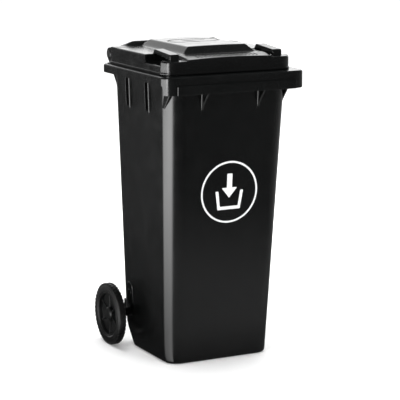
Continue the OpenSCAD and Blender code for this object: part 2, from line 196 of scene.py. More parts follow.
@dataclass(frozen=True)
class MouldedPolypropylene(MouldedHdpe):
    """Injection-moulded polypropylene, black: duller than the shell, with a coarser grain."""

    name: str = "moulded_black_polypropylene"
    tones: tuple[str, str] = ("#070808", "#0b0c0c")
    roughness: Point = (0.28, 0.38)
    reliefs: Reliefs = ((90 * MM, 1, 0.02 * MM), (1.1 * MM, 2, 0.02 * MM))


@dataclass(frozen=True)
class SolidRubber(Surface):
    """Solid black rubber: matt, with a dusty bloom and a fine pebbled skin."""

    name: str = "solid_black_rubber"
    tones: tuple[str, str] = ("#090909", "#0e0e0e")
    roughness: Point = (0.36, 0.5)
    cloud: tuple[float, int] = (22 * MM, 5)
    reliefs: Reliefs = ((1.4 * MM, 3, 0.04 * MM),)


@dataclass(frozen=True)
class MouldedPolyamide(Surface):
    """Black moulded polyamide: an even satin with a very fine grain."""

    name: str = "moulded_black_polyamide"
    tones: tuple[str, str] = ("#0c0d0d", "#0c0d0d")
    roughness: Point = (0.30, 0.42)
    cloud: tuple[float, int] = (0.7 * MM, 2)
    reliefs: Reliefs = ((0.7 * MM, 2, 0.01 * MM),)


@dataclass(frozen=True)
class NaturalPolyamide(MouldedPolyamide):
    """Uncoloured polyamide: the same satin, ivory and a little duller."""

    name: str = "natural_polyamide"
    tones: tuple[str, str] = ("#d8d4c6", "#d8d4c6")
    roughness: Point = (0.44, 0.56)


@dataclass(frozen=True)
class ZincPlatedSteel(Surface):
    """Bright zinc-plated steel: a clear metal with a spangled, slightly clouded film."""

    name: str = "zinc_plated_steel"
    tones: tuple[str, str] = ("#c9ccd0", "#9ea3a8")
    roughness: Point = (0.22, 0.4)
    cloud: tuple[float, int] = (12 * MM, 3)
    metallic: float = 1.0
    spangle: float = 3 * MM

    def drift(self, graph: Graph, place: Socket, cloud: Node) -> Node:
        """The zinc's crystals: each darkens away from its middle."""
        return graph.add("TexVoronoi", {"Vector": place, "Scale": 1 / self.spangle})


@dataclass(frozen=True)
class HotStampedFoil(Surface):
    """White hot-stamped print: a thin matt film, slightly uneven where it took."""

    name: str = "white_hot_stamped_film"
    tones: tuple[str, str] = ("#f4f5f5", "#dadcdc")
    roughness: Point = (0.4, 0.55)
    cloud: tuple[float, int] = (2.5 * MM, 4)


class Finish(Enum):
    """The finishes of the bin, each made once."""

    SHELL = MouldedHdpe()
    WHEEL = MouldedPolypropylene()
    FITTING = MouldedPolyamide()
    BUSH = NaturalPolyamide()
    RUBBER = SolidRubber()
    STEEL = ZincPlatedSteel()
    PRINT = HotStampedFoil()


class Paintbox:
    """Makes each finish's material the first time that it is asked for."""

    def __init__(self) -> None:
        """Starts with no material made."""
        self.made: dict[Finish, bpy.types.Material] = {}

    def coat(self, obj: Piece, finish: Finish) -> None:
        """Gives an object one finish all over."""
        if finish not in self.made:
            self.made[finish] = finish.value.build()
        if not obj.material_slots:
            obj.data.materials.append(self.made[finish])
        for slot in obj.material_slots:
            slot.material = self.made[finish]

    def fit(self, obj: Piece, finish: Finish, body: str, slot: str = "", node: str = "") -> Piece:
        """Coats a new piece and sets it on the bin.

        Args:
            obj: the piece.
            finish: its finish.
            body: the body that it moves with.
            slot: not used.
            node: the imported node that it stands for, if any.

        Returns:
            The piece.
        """
        self.coat(obj, finish)
        if node:
            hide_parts(node)
        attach(obj, body)
        return obj


# --- Mesh tools ---

# a corner straighter than this is left alone, and a rounding takes this share of a side at most
STRAIGHT = math.radians(170)
SIDE_SHARE = 0.45


def mm(points: Iterable[Point], at: Point = (0.0, 0.0)) -> list[Point]:
    """Points given in millimetres from a place, in metres."""
    return [(at[0] + a * MM, at[1] + b * MM) for a, b in points]


def arc(
    radius: float, start: float, end: float, steps: int, centre: Point = (0.0, 0.0)
) -> list[Point]:
    """Points on an arc round a centre, from one angle to another, in degrees."""
    angles = [math.radians(start + (end - start) * i / steps) for i in range(steps + 1)]
    return [(centre[0] + radius * math.cos(a), centre[1] + radius * math.sin(a)) for a in angles]


def rounded(points: Sequence[Point], radius: float, steps: int = 4) -> list[Point]:
    """A closed outline with each corner rounded.

    Args:
        points: the outline's corners, in order.
        radius: the rounding, made smaller where a side is short.
        steps: how many edges each rounding has.

    Returns:
        The rounded outline's points.
    """
    out: list[Point] = []
    count = len(points)
    for i, corner in enumerate(points):
        here = Vector(corner)
        back = Vector(points[i - 1]) - here
        on = Vector(points[(i + 1) % count]) - here
        turn = back.angle(on)
        if turn > STRAIGHT:
            out.append(corner)
            continue
        reach = min(radius / math.tan(turn / 2), SIDE_SHARE * back.length, SIDE_SHARE * on.length)
        first, last = here + back.normalized() * reach, here + on.normalized() * reach
        for k in range(steps + 1):
            t = k / steps
            spot = first.lerp(here, t).lerp(here.lerp(last, t), t)
            out.append((spot.x, spot.y))
    return out


def smooth_max(a: float, b: float, blend: float) -> float:
    """The larger of two heights, with a fillet where they meet."""
    near = max(blend - abs(a - b), 0) / blend
    return max(a, b) + near * near * blend / 4


def eased(value: float) -> float:
    """An even step from 0 to 1."""
    t = min(max(value, 0.0), 1.0)
    return t * t * (3 - 2 * t)


def soft_ramp(distance: float, radius: float) -> float:
    """A ramp that starts at 0 and is rounded over a radius each side of it."""
    if distance <= -radius:
        return 0.0
    if distance >= radius:
        return distance
    return (distance + radius) ** 2 / (4 * radius)


# where a crease's grid lines lie round it, and how close two lines or a line and the edge come
CREASE_MARKS = (-6, -4, -3, -2.2, -1.5, -0.9, -0.4, 0.4, 0.9, 1.5, 2.2, 3, 4, 6)
LINE_GAP = 0.35 * MM
FINE_GAP = 0.25 * MM
EDGE_GAP = 0.2 * MM
# what counts as the same place
TOUCH = 1e-7


def lines(low: float, high: float, creases: Iterable[float], coarse: float) -> list[float]:
    """Grid lines that crowd together where the surface turns.

    Args:
        low: the first line.
        high: the last line.
        creases: where the surface turns.
        coarse: the widest gap between two lines.

    Returns:
        The lines in order.
    """
    marks = sorted(
        {low, high}
        | {c + n * MM for c in creases for n in CREASE_MARKS if low < c + n * MM < high}
    )
    kept = [low]
    for mark in marks[1:]:
        if mark - kept[-1] > LINE_GAP or mark == high:
            if mark == high and high - kept[-1] < EDGE_GAP and len(kept) > 1:
                kept.pop()
            kept.append(mark)
    out = [kept[0]]
    for mark in kept[1:]:
        parts = max(1, math.ceil((mark - out[-1]) / coarse))
        start = out[-1]
        out += [start + (mark - start) * (i + 1) / parts for i in range(parts)]
    return out


class Mesh:
    """A mesh in the making: bmesh operators behind short names."""

    def __init__(self) -> None:
        """Starts with nothing."""
        self.bm = bmesh.new()

    def ring(self, points: Sequence[Vector]) -> list[Vert]:
        """The vertices of a new closed loop of edges through points, in order."""
        made = bmesh.ops.create_circle(self.bm, segments=len(points), radius=1.0)["verts"]
        ring = [made[0], made[0].link_edges[0].other_vert(made[0])]
        while len(ring) < len(made):
            here = ring[-1]
            ring.append(next(v for e in here.link_edges if (v := e.other_vert(here)) != ring[-2]))
        for vert, point in zip(ring, points, strict=True):
            vert.co = point
        return ring

    def sides(self, ring: Sequence[Vert]) -> list[bmesh.types.BMEdge]:
        """The edges that join a loop's vertices."""
        return [self.bm.edges.get(pair) for pair in zip(ring, [*ring[1:], ring[0]], strict=True)]

    def loop(self, points: Sequence[Vector]) -> list[bmesh.types.BMEdge]:
        """A closed loop of edges through points."""
        return self.sides(self.ring(points))

    def loft(self, stations: Sequence[Sequence[Vector]]) -> None:
        """A skin through loops that have as many points each, closed at both ends."""
        ring = self.ring(stations[0])
        edges = self.sides(ring)
        bmesh.ops.edgeloop_fill(self.bm, edges=edges)
        for station in stations[1:]:
            made = bmesh.ops.extrude_edge_only(self.bm, edges=edges)["geom"]
            fresh = {g for g in made if isinstance(g, Vert)}
            ring = [
                next(e.other_vert(v) for e in v.link_edges if e.other_vert(v) in fresh)
                for v in ring
            ]
            for vert, point in zip(ring, station, strict=True):
                vert.co = point
            edges = self.sides(ring)
        bmesh.ops.edgeloop_fill(self.bm, edges=edges)

    def prism(
        self,
        outline: Sequence[Point],
        start: float,
        end: float,
        to_space: Callable[[float, float, float], Vector],
        bevel: float = 0.0,
    ) -> None:
        """An outline run straight from one depth to another, with its end edges rounded.

        Args:
            outline: the closed outline.
            start: the depth of the first end.
            end: the depth of the second end.
            to_space: gives the place of an outline point at a depth.
            bevel: the rounding of the end edges.
        """
        edges = self.loop([to_space(a, b, start) for a, b in outline])
        face = bmesh.ops.edgeloop_fill(self.bm, edges=edges)["faces"]
        made = bmesh.ops.extrude_face_region(self.bm, geom=face, use_keep_orig=True)["geom"]
        step = to_space(0, 0, end) - to_space(0, 0, start)
        fresh = [g for g in made if isinstance(g, Vert)]
        bmesh.ops.translate(self.bm, verts=fresh, vec=step)
        if bevel > 0:
            ends = edges + [g for g in made if isinstance(g, bmesh.types.BMEdge)]
            bmesh.ops.bevel(
                self.bm,
                geom=ends,
                offset=bevel,
                segments=3,
                affect="EDGES",
                profile=0.5,
                material=-1,
                clamp_overlap=True,
            )

    def twins(self, outline: Sequence[Point], inner: float, outer: float, bevel: float) -> None:
        """An outline of (y, z) run across from inner to outer, on each side of the middle."""
        for side in (-1, 1):
            low, high = sorted((side * inner, side * outer))
            self.prism(outline, low, high, across, bevel)

    def turned(self, profile: Sequence[Point], centre: Vector, steps: int = 96) -> None:
        """A closed profile of (place along X, radius) spun round the X axis through a centre."""
        edges = self.loop([centre + Vector((x, 0, r)) for x, r in profile])
        verts = dict.fromkeys(v for e in edges for v in e.verts)
        bmesh.ops.spin(
            self.bm,
            geom=[*verts, *edges],
            cent=centre,
            axis=(1, 0, 0),
            angle=math.tau,
            steps=steps,
            use_merge=True,
        )

    def repeat(self, part: "Mesh", centre: Vector, count: int) -> None:
        """Adds a part a number of times, evenly round the X axis through a centre."""
        bmesh.ops.spin(
            part.bm,
            geom=[*part.bm.verts, *part.bm.edges, *part.bm.faces],
            cent=centre,
            axis=(1, 0, 0),
            angle=math.tau * (count - 1) / count,
            steps=count - 1,
            use_duplicate=True,
        )
        spare = bpy.data.meshes.new("spare")
        part.bm.to_mesh(spare)
        part.bm.free()
        self.bm.from_mesh(spare)
        bpy.data.meshes.remove(spare)

    def finish(self, name: str, crease: float = 40.0, weighted: bool = True) -> Piece:
        """Closes the mesh and puts it in the scene.

        Args:
            name: the object's name.
            crease: edges that turn by more than this many degrees stay sharp.
            weighted: whether large faces rule the shading.

        Returns:
            The new object, at the origin.
        """
        bmesh.ops.remove_doubles(self.bm, verts=self.bm.verts, dist=0.001 * MM)
        bmesh.ops.recalc_face_normals(self.bm, faces=self.bm.faces)
        mesh = bpy.data.meshes.new(name)
        self.bm.to_mesh(mesh)
        self.bm.free()
        obj = bpy.data.objects.new(name, mesh)
        shade(obj, crease, weighted)
        bpy.context.scene.collection.objects.link(obj)
        return obj


def shade(obj: Piece, crease: float, weighted: bool = True) -> None:
    """Smooths an object's shading, but for the edges that turn by more than crease degrees."""
    obj.data.shade_smooth()
    obj.data.set_sharp_from_angle(angle=math.radians(crease))
    if weighted:
        obj.modifiers.new("weighted normals", "WEIGHTED_NORMAL").keep_sharp = True


def across(a: float, b: float, depth: float) -> Vector:
    """An outline of (y, z), run along X."""
    return Vector((depth, a, b))


def upward(a: float, b: float, depth: float) -> Vector:
    """An outline of (x, y), run along Z."""
    return Vector((a, b, depth))


def cut_with(target: Piece, tool: Piece, operation: str) -> None:
    """Joins a tool to a target, or cuts it out, and removes the tool."""
    modifier = target.modifiers.new("cut", "BOOLEAN")
    modifier.operation = operation
    modifier.solver = "EXACT"
    modifier.object = tool
    graph = bpy.context.evaluated_depsgraph_get()
    made = bpy.data.meshes.new_from_object(target.evaluated_get(graph))
    target.modifiers.clear()
    old = target.data
    target.data = made
    bpy.data.meshes.remove(old)
    bpy.data.objects.remove(tool)


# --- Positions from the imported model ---


@dataclass(frozen=True)
class Layout:
    """The places that every piece is built from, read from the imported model."""

    rim_half: float
    rim_front: float
    rim_back: float
    rim_top: float
    hinge_y: float
    hinge_z: float
    lid_front: float
    wheel_out: float
    wheel_radius: float
    axle_y: float
    axle_z: float

    @classmethod
    def read(cls, frame: dict, band_proud: float, butt: float, rim_depth: float) -> "Layout":
        """Reads the layout.

        Args:
            band_proud: how far the front band stands out from the rim.
            butt: the gap under the lid's edge.
            rim_depth: the rim's size from front to back.

        Returns:
            The layout.
        """
        joints = {j["name"]: j["pos_m"] for j in frame["record"]["behaviour"]["joints"]}
        body_low, body_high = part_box("body")
        lid_low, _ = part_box("lid")
        tyre_low, tyre_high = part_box("tyre_right")
        rim_front = body_low[1] + band_proud
        return cls(
            rim_half=body_high[0],
            rim_front=rim_front,
            rim_back=rim_front + rim_depth,
            rim_top=lid_low[2] - butt,
            hinge_y=joints["lid_hinge"][1],
            hinge_z=joints["lid_hinge"][2],
            lid_front=lid_low[1],
            wheel_out=tyre_high[0],
            wheel_radius=(tyre_high[2] - tyre_low[2]) / 2,
            axle_y=joints["wheel_right_spin"][1],
            axle_z=joints["wheel_right_spin"][2],
        )


# how many edges each corner of an outline has
CORNER_STEPS = 14


@dataclass(frozen=True)
class Outline:
    """A rounded rectangle in plan, with its own corner radius at each end."""

    half: float
    front: float
    back: float
    front_radius: float
    back_radius: float

    def inset(self, by: float) -> "Outline":
        """The outline drawn in by a distance, or out by a negative one."""
        return Outline(
            self.half - by,
            self.front + by,
            self.back - by,
            max(self.front_radius - by, 0.5 * MM),
            max(self.back_radius - by, 0.5 * MM),
        )

    def towards(self, other: "Outline", share: float) -> "Outline":
        """The outline part of the way to another."""
        pairs = zip(astuple(self), astuple(other), strict=True)
        return Outline(*(a + (b - a) * share for a, b in pairs))

    def loop(self, height: float, edge: Callable[[float], float] | None = None) -> list[Vector]:
        """The outline's points, from the front right corner round by the right side.

        Args:
            height: the height.
            edge: gives what the height starts from at a place along Y.

        Returns:
            The points.
        """
        corners = (
            (1, self.front + self.front_radius, self.front_radius, -90),
            (1, self.back - self.back_radius, self.back_radius, 0),
            (-1, self.back - self.back_radius, self.back_radius, 90),
            (-1, self.front + self.front_radius, self.front_radius, 180),
        )
        out = []
        for side, y, radius, angle in corners:
            for dx, dy in arc(radius, angle, angle + 90, CORNER_STEPS):
                spot = y + dy
                z = height + (edge(spot) if edge else 0)
                out.append(Vector((side * (self.half - radius) + dx, spot, z)))
        return out


# --- The body ---


@dataclass
class BodyShell:
    """The tapered body with its rim, band, gussets, ribs, axle tunnel and hinge lugs."""

    at: Layout
    paint: Paintbox
    wall: float = 4 * MM
    floor: float = 5 * MM
    rim_wall: float = 4 * MM
    rim_radius: float = 35 * MM
    rim_edge: float = 5 * MM
    skirt_side: float = 27 * MM
    skirt_front: float = 54 * MM
    skirt_return: float = 24 * MM
    overhang_side: float = 32 * MM
    overhang_front: float = 37 * MM
    overhang_rear: float = 6 * MM
    mouth_radius: float = 57 * MM
    foot_half: float = 177 * MM
    foot_front: float = 106 * MM
    foot_rear: float = 21 * MM
    foot_radius: float = 45 * MM
    foot_edge: float = 10 * MM
    band_half: float = 203 * MM
    band_proud: float = 7 * MM
    band_height: float = 28 * MM
    rib: float = 6 * MM
    rib_fillet: float = 4 * MM
    gusset_half: float = 96 * MM
    corner_gusset_back: float = 45 * MM
    gusset_drop: float = 48 * MM
    side_rib_places: tuple[float, ...] = (194 * MM, 331 * MM)
    side_rib_out: float = 12 * MM
    side_rib_drop: float = 116 * MM
    tunnel_depth: float = 76 * MM
    cheek_cut: float = 70 * MM
    cheek_cut_head: float = 4 * MM
    cheek: float = 12 * MM
    boss_radius: float = 15 * MM
    boss_out: float = 184 * MM
    housing_ahead: float = 47 * MM
    housing_top: float = 212 * MM
    lug_outer: float = 186 * MM
    lug_wall: float = 13 * MM
    lug_radius: float = 20 * MM
    lug_drop: float = 78 * MM
    lug_room: float = 31 * MM
    handle_radius: float = 14 * MM
    mouth: Outline = field(init=False)
    foot: Outline = field(init=False)
    rim: Outline = field(init=False)

    def __post_init__(self) -> None:
        """Works out the three outlines that the shell runs between."""
        at = self.at
        self.rim = Outline(at.rim_half, at.rim_front, at.rim_back, self.rim_radius, self.rim_radius)
        self.mouth = Outline(
            at.rim_half - self.overhang_side,
            at.rim_front + self.overhang_front,
            at.rim_back - self.overhang_rear,
            self.mouth_radius,
            self.mouth_radius,
        )
        self.foot = Outline(
            self.foot_half,
            at.rim_front + self.foot_front,
            at.rim_back - self.foot_rear,
            self.foot_radius,
            self.foot_radius,
        )

    def wall_at(self, height: float) -> Outline:
        """The body's outer outline at a height."""
        return self.foot.towards(self.mouth, height / self.at.rim_top)

    def skirt_low(self, y: float) -> float:
        """The height of the skirt's lower edge at a place along Y."""
        start = self.at.rim_front + self.skirt_return
        drop = self.skirt_front + (self.skirt_side - self.skirt_front) * eased(
            (y - start + 4 * MM) / (6 * MM)
        )
        return self.at.rim_top - drop

    def bend(
        self,
        outline: Outline,
        arc_points: Iterable[Point],
        edge: Callable[[float], float] | None = None,
    ) -> list[list[Vector]]:
        """The loops round one bend of the shell's section.

        Args:
            outline: the outline that the bend follows.
            arc_points: pairs of (how far in, how high).
            edge: gives what the height starts from at a place along Y.

        Returns:
            The loops.
        """
        return [outline.inset(by).loop(height, edge) for by, height in arc_points]

    def stations(self) -> list[list[Vector]]:
        """The loops of the shell, from the outside of the floor round to the inside of it."""
        top, wall, foot, edge = self.at.rim_top, self.wall, self.foot_edge, self.rim_edge
        under = top - self.rim_wall
        cove, tuck, lip, bowl = 6 * MM, 3 * MM, 1.6 * MM, 12 * MM
        root = under - cove
        levels = (0.2, 0.4, 0.6, 0.8)
        return [
            *self.bend(self.foot, arc(foot, -90, -180, 4, (foot, foot))),
            *[self.wall_at(h * top).loop(h * top) for h in levels],
            *self.bend(self.wall_at(root), arc(cove, 0, 90, 4, (-cove, root))),
            *self.bend(self.rim, arc(tuck, 90, 180, 4, (self.rim_wall + tuck, under - tuck))),
            *self.bend(self.rim, arc(lip, 0, -90, 2, (self.rim_wall - lip, lip)), self.skirt_low),
            *self.bend(self.rim, arc(lip, -90, -180, 2, (lip, lip)), self.skirt_low),
            *self.bend(self.rim, arc(edge, 180, 90, 4, (edge, top - edge))),
            *self.bend(self.mouth, arc(wall, 90, 0, 4, (0.0, top - wall))),
            *[self.wall_at(h * top).inset(wall).loop(h * top) for h in reversed(levels)],
            *self.bend(self.foot, arc(bowl, 180, 270, 4, (wall + bowl, self.floor + bowl))),
        ]

    def build_shell(self) -> Piece:
        """Makes the tapered shell and cuts the axle's tunnel across its foot."""
        mesh = Mesh()
        mesh.loft(self.stations())
        shell = mesh.finish("body_shell", weighted=False)
        at, wall = self.at, self.wall
        front = at.axle_y - self.tunnel_depth
        top = at.axle_z + self.boss_radius + 6 * MM
        head = at.axle_z - self.boss_radius / 2
        back, behind, below = at.rim_back, at.rim_back + 20 * MM, -40 * MM
        side = self.foot_half - self.cheek
        block = [
            (front - wall, 2 * MM), (front - wall, top - 10 * MM), (front + 10 * MM, top + wall),
            (back - 16 * MM, top + 14 * MM + wall), (back - 23 * MM, 2 * MM),
        ]
        tunnel = [
            (front, below), (front, top - 12 * MM), (front + 12 * MM, top),
            (behind, top + 16 * MM), (behind, below),
        ]
        notch = [
            (at.axle_y - self.cheek_cut - 28 * MM, below),
            (at.axle_y - self.cheek_cut_head, head - 4 * MM), (behind, head + 2 * MM),
            (behind, below),
        ]
        for outline, reach, operation in (
            (block, side + 6 * MM, "UNION"), (rounded(tunnel, 6 * MM), side, "DIFFERENCE"),
            (rounded(notch, 8 * MM), at.rim_half, "DIFFERENCE"),
        ):
            tool = Mesh()
            tool.prism(outline, -reach, reach, across)
            cut_with(shell, tool.finish("tool", weighted=False), operation)
        shade(shell, 34)
        return shell

    def build_band(self) -> Piece:
        """Makes the proud band on the front skirt, with its ends turned in."""
        at, half = self.at, self.band_half
        low = at.rim_top - self.skirt_front
        near, far = at.rim_front + 2 * MM, at.rim_front - self.band_proud
        plan = rounded([(-half, near), (-half, far), (half, far), (half, near)], 6 * MM, 6)
        mesh = Mesh()
        mesh.prism(plan, low, low + self.band_height, upward, bevel=2 * MM)
        return mesh.finish("lifting_band")

    def rib_loop(self, reach: float, centre: Vector, outward: Vector) -> list[Vector]:
        """One section of a rib: a blade with fillets at its root and a round edge.

        Args:
            reach: how far the rib stands out here.
            centre: the point on the wall.
            outward: the direction away from the wall.

        Returns:
            The section's points.
        """
        half, foot, tight = self.rib / 2, self.rib_fillet, 0.9 * MM
        flare = arc(foot, -90, -180, 6, (half + foot, foot))
        nose = arc(tight, 0, 90, 5, (half - tight, half - tight))
        scale = min(1.0, reach / (foot + half))
        right = [(w, d * scale) for w, d in flare]
        right += [(w, max(reach - half * scale, foot * scale) + d * scale) for w, d in nose]
        left = [(-w, d) for w, d in reversed(right)]
        sideways = outward.cross(Vector((0, 0, 1)))
        sunk = -1.5 * MM
        section = [(half + foot, sunk), *right, *left[1:], (-half - foot, sunk)]
        return [centre + sideways * w + outward * d for w, d in section]

    def build_ribs(self) -> Piece:
        """Makes the front gussets and the side ribs as blades with filleted roots."""
        at, drop, out = self.at, self.gusset_drop, self.side_rib_out
        mesh = Mesh()
        head = at.rim_top - self.rim_wall / 2
        low = at.rim_top - self.skirt_front
        tip = low - drop
        lead, blunt, faint = 6 * MM, 5 * MM, 0.6 * MM
        for x in (-self.gusset_half, self.gusset_half):
            stations = []
            for z in (tip - lead, tip, tip + 4 * MM, tip + drop / 2, low - 2 * MM, low, head):
                front = self.wall_at(z).front
                full = (front - at.rim_front - self.rim_wall / 2) * min(max((z - tip) / drop, 0), 1)
                reach = max(faint, blunt * min(1, (z - tip + lead) / lead), full)
                stations.append(self.rib_loop(reach, Vector((x, front, z)), Vector((0, -1, 0))))
            mesh.loft(stations)
        self.add_corner_gussets(mesh, tip, low)
        foot = at.rim_top - self.side_rib_drop
        heights = (foot - out, foot - 8 * MM, foot - 3 * MM, foot, foot + 4 * MM, head)
        for side in (-1, 1):
            for place in self.side_rib_places:
                stations = []
                for z in heights:
                    reach = max(0.4 * MM, out * eased((z - foot + out) / out))
                    centre = Vector((side * self.wall_at(z).half, at.rim_front + place, z))
                    stations.append(self.rib_loop(reach, centre, Vector((side, 0, 0))))
                mesh.loft(stations)
        return mesh.finish("gussets_and_ribs")

    def add_corner_gussets(self, mesh: Mesh, tip: float, low: float) -> None:
        """Adds the gussets in line with the side walls, at the front corners.

        Args:
            mesh: the mesh to add them to.
            tip: the height of their lower ends.
            low: the height of the front skirt's lower edge.
        """
        free = self.at.rim_front + self.corner_gusset_back
        root = self.mouth.front + self.mouth_radius
        outline = [
            (free, self.at.rim_top - self.rim_wall / 2), (free, low), (root - 10 * MM, tip),
            (root + 6 * MM, tip), (root + 6 * MM, self.at.rim_top - self.rim_wall / 2),
        ]
        face = self.wall_at(tip).half
        mesh.twins(outline, face - self.rib, face, 1.2 * MM)

    def faded(self, level: float, height: float) -> float:
        """A housing's depth at a height: full at its top, and level with the wall at its foot."""
        foot, head = 70 * MM, self.housing_top - 30 * MM
        share = eased((height - foot) / (head - foot))
        return level * share - 1 * MM * (1 - share)

    def build_housings(self) -> Piece:
        """Makes the stepped swelling on each side wall, ahead of the axle."""
        mesh = Mesh()
        at, inner, out = self.at, self.foot_half - self.cheek, self.boss_out
        y0, low, edge, sunk = at.axle_y - self.housing_ahead, 52 * MM, 6 * MM, -3 * MM
        steps = (
            (22 * MM, 2.2 * MM, self.housing_top), (14 * MM, 3.8 * MM, self.housing_top - 24 * MM),
        )
        boss = [(inner, 9 * MM), (inner, self.boss_radius), (out, self.boss_radius), (out, 9 * MM)]
        for side in (-1, 1):
            for radius, proud, top in steps:
                stations = []
                for level in (sunk, 0.0, 0.45 * proud, 0.8 * proud, proud):
                    turn = math.asin(max(level, 0.0) / proud)
                    r, z0 = radius - edge * (1 - math.cos(turn)), top - radius
                    down = [z0 - (z0 - low) * k / 8 for k in range(1, 9)]
                    outline = [
                        *arc(r, 0, 180, 20, (y0, z0)),
                        *[(y0 - r, z) for z in down],
                        *[(y0 + r, z) for z in reversed(down)],
                    ]
                    stations.append(
                        [
                            Vector((side * (self.wall_at(z).half + self.faded(level, z)), y, z))
                            for y, z in outline
                        ]
                    )
                mesh.loft(stations)
            profile = rounded([(side * x, r) for x, r in boss], 1.2 * MM)
            mesh.turned(profile, Vector((0, at.axle_y, at.axle_z)), 48)
        return mesh.finish("axle_housings")

    def build_lugs(self) -> Piece:
        """Makes the four hinge lugs and the handle bar between the inner two."""
        at = self.at
        mesh = Mesh()
        root, foot = self.mouth.back - self.wall / 2, at.rim_top - self.lug_drop
        slant = self.lug_radius * math.sin(math.radians(45))
        outline = [
            (root, at.rim_top - self.rim_wall - 1 * MM),
            *arc(self.lug_radius, 135, -45, 18, (at.hinge_y, at.hinge_z)),
            (at.hinge_y + slant - 30 * MM, at.hinge_z - slant - 30 * MM),
            (self.mouth.back + 4 * MM, foot + 10 * MM),
            (root, foot - 3 * MM),
        ]
        inner = self.lug_outer - self.lug_wall - self.lug_room
        for outside in (self.lug_outer, inner):
            mesh.twins(outline, outside - self.lug_wall, outside, 2 * MM)
        reach, r, flare = inner - self.lug_wall, self.handle_radius, 4 * MM
        right = [
            *arc(flare, -90, 0, 5, (reach - flare, r + flare)),
            (reach + 3 * MM, r + flare),
            (reach + 3 * MM, 2 * MM),
        ]
        profile = [*right, *[(-x, rad) for x, rad in reversed(right)]]
        mesh.turned(profile, Vector((0, at.hinge_y, at.hinge_z)), 64)
        return mesh.finish("hinge_lugs_and_handle")

    def build(self) -> list[Piece]:
        """Makes the body's pieces and sets them on the bin."""
        fit = self.paint.fit
        return [
            fit(self.build_shell(), Finish.SHELL, "bin", "shell", "body"),
            fit(self.build_band(), Finish.SHELL, "bin", "shell"),
            fit(self.build_ribs(), Finish.SHELL, "bin", "shell"),
            fit(self.build_housings(), Finish.SHELL, "bin", "shell"),
            fit(self.build_lugs(), Finish.SHELL, "bin", "shell"),
        ]


# the arrow and the tray of the print, in millimetres from its middle
ARROW = ((-9, 58), (9, 58), (9, 14), (27, 14), (0, -18), (-27, 14), (-9, 14))
TRAY = ((-48, 4), (-38, 4), (-31, -45), (31, -45), (38, 4), (48, 4), (39, -55), (-39, -55))


@dataclass
class Emblem:
    """The white print on the front wall: a ring round an arrow that points into a tray."""

    shell: BodyShell
    paint: Paintbox
    centre_x: float = 7.6 * MM
    centre_z: float = 540 * MM
    radius: float = 94.6 * MM
    stroke: float = 5.8 * MM
    film: float = 0.25 * MM
    sunk: float = 0.5 * MM

    def place(self) -> Matrix:
        """The print's own plane on the sloping front wall."""
        top = self.shell.at.rim_top
        lean = math.atan((self.shell.foot.front - self.shell.mouth.front) / top)
        front = self.shell.wall_at(self.centre_z).front
        spot = Matrix.Translation((self.centre_x, front, self.centre_z))
        return spot @ Matrix.Rotation(lean, 4, "X")

    def build(self) -> Piece:
        """Makes the print and sets it on the bin."""
        mesh = Mesh()
        wide, narrow = self.radius + self.stroke / 2, self.radius - self.stroke / 2
        strokes = [
            [*arc(wide, start, start + 120, 40), *arc(narrow, start + 120, start, 40)]
            for start in (0, 120, 240)
        ]
        strokes += [rounded(mm(shape), 2 * MM) for shape in (ARROW, TRAY)]
        for stroke in strokes:
            mesh.prism(stroke, -self.film, self.sunk, lambda a, b, depth: Vector((a, depth, b)))
        piece = mesh.finish("printed_emblem")
        piece.data.transform(self.place())
        return self.paint.fit(piece, Finish.PRINT, "bin")


# --- The lid ---


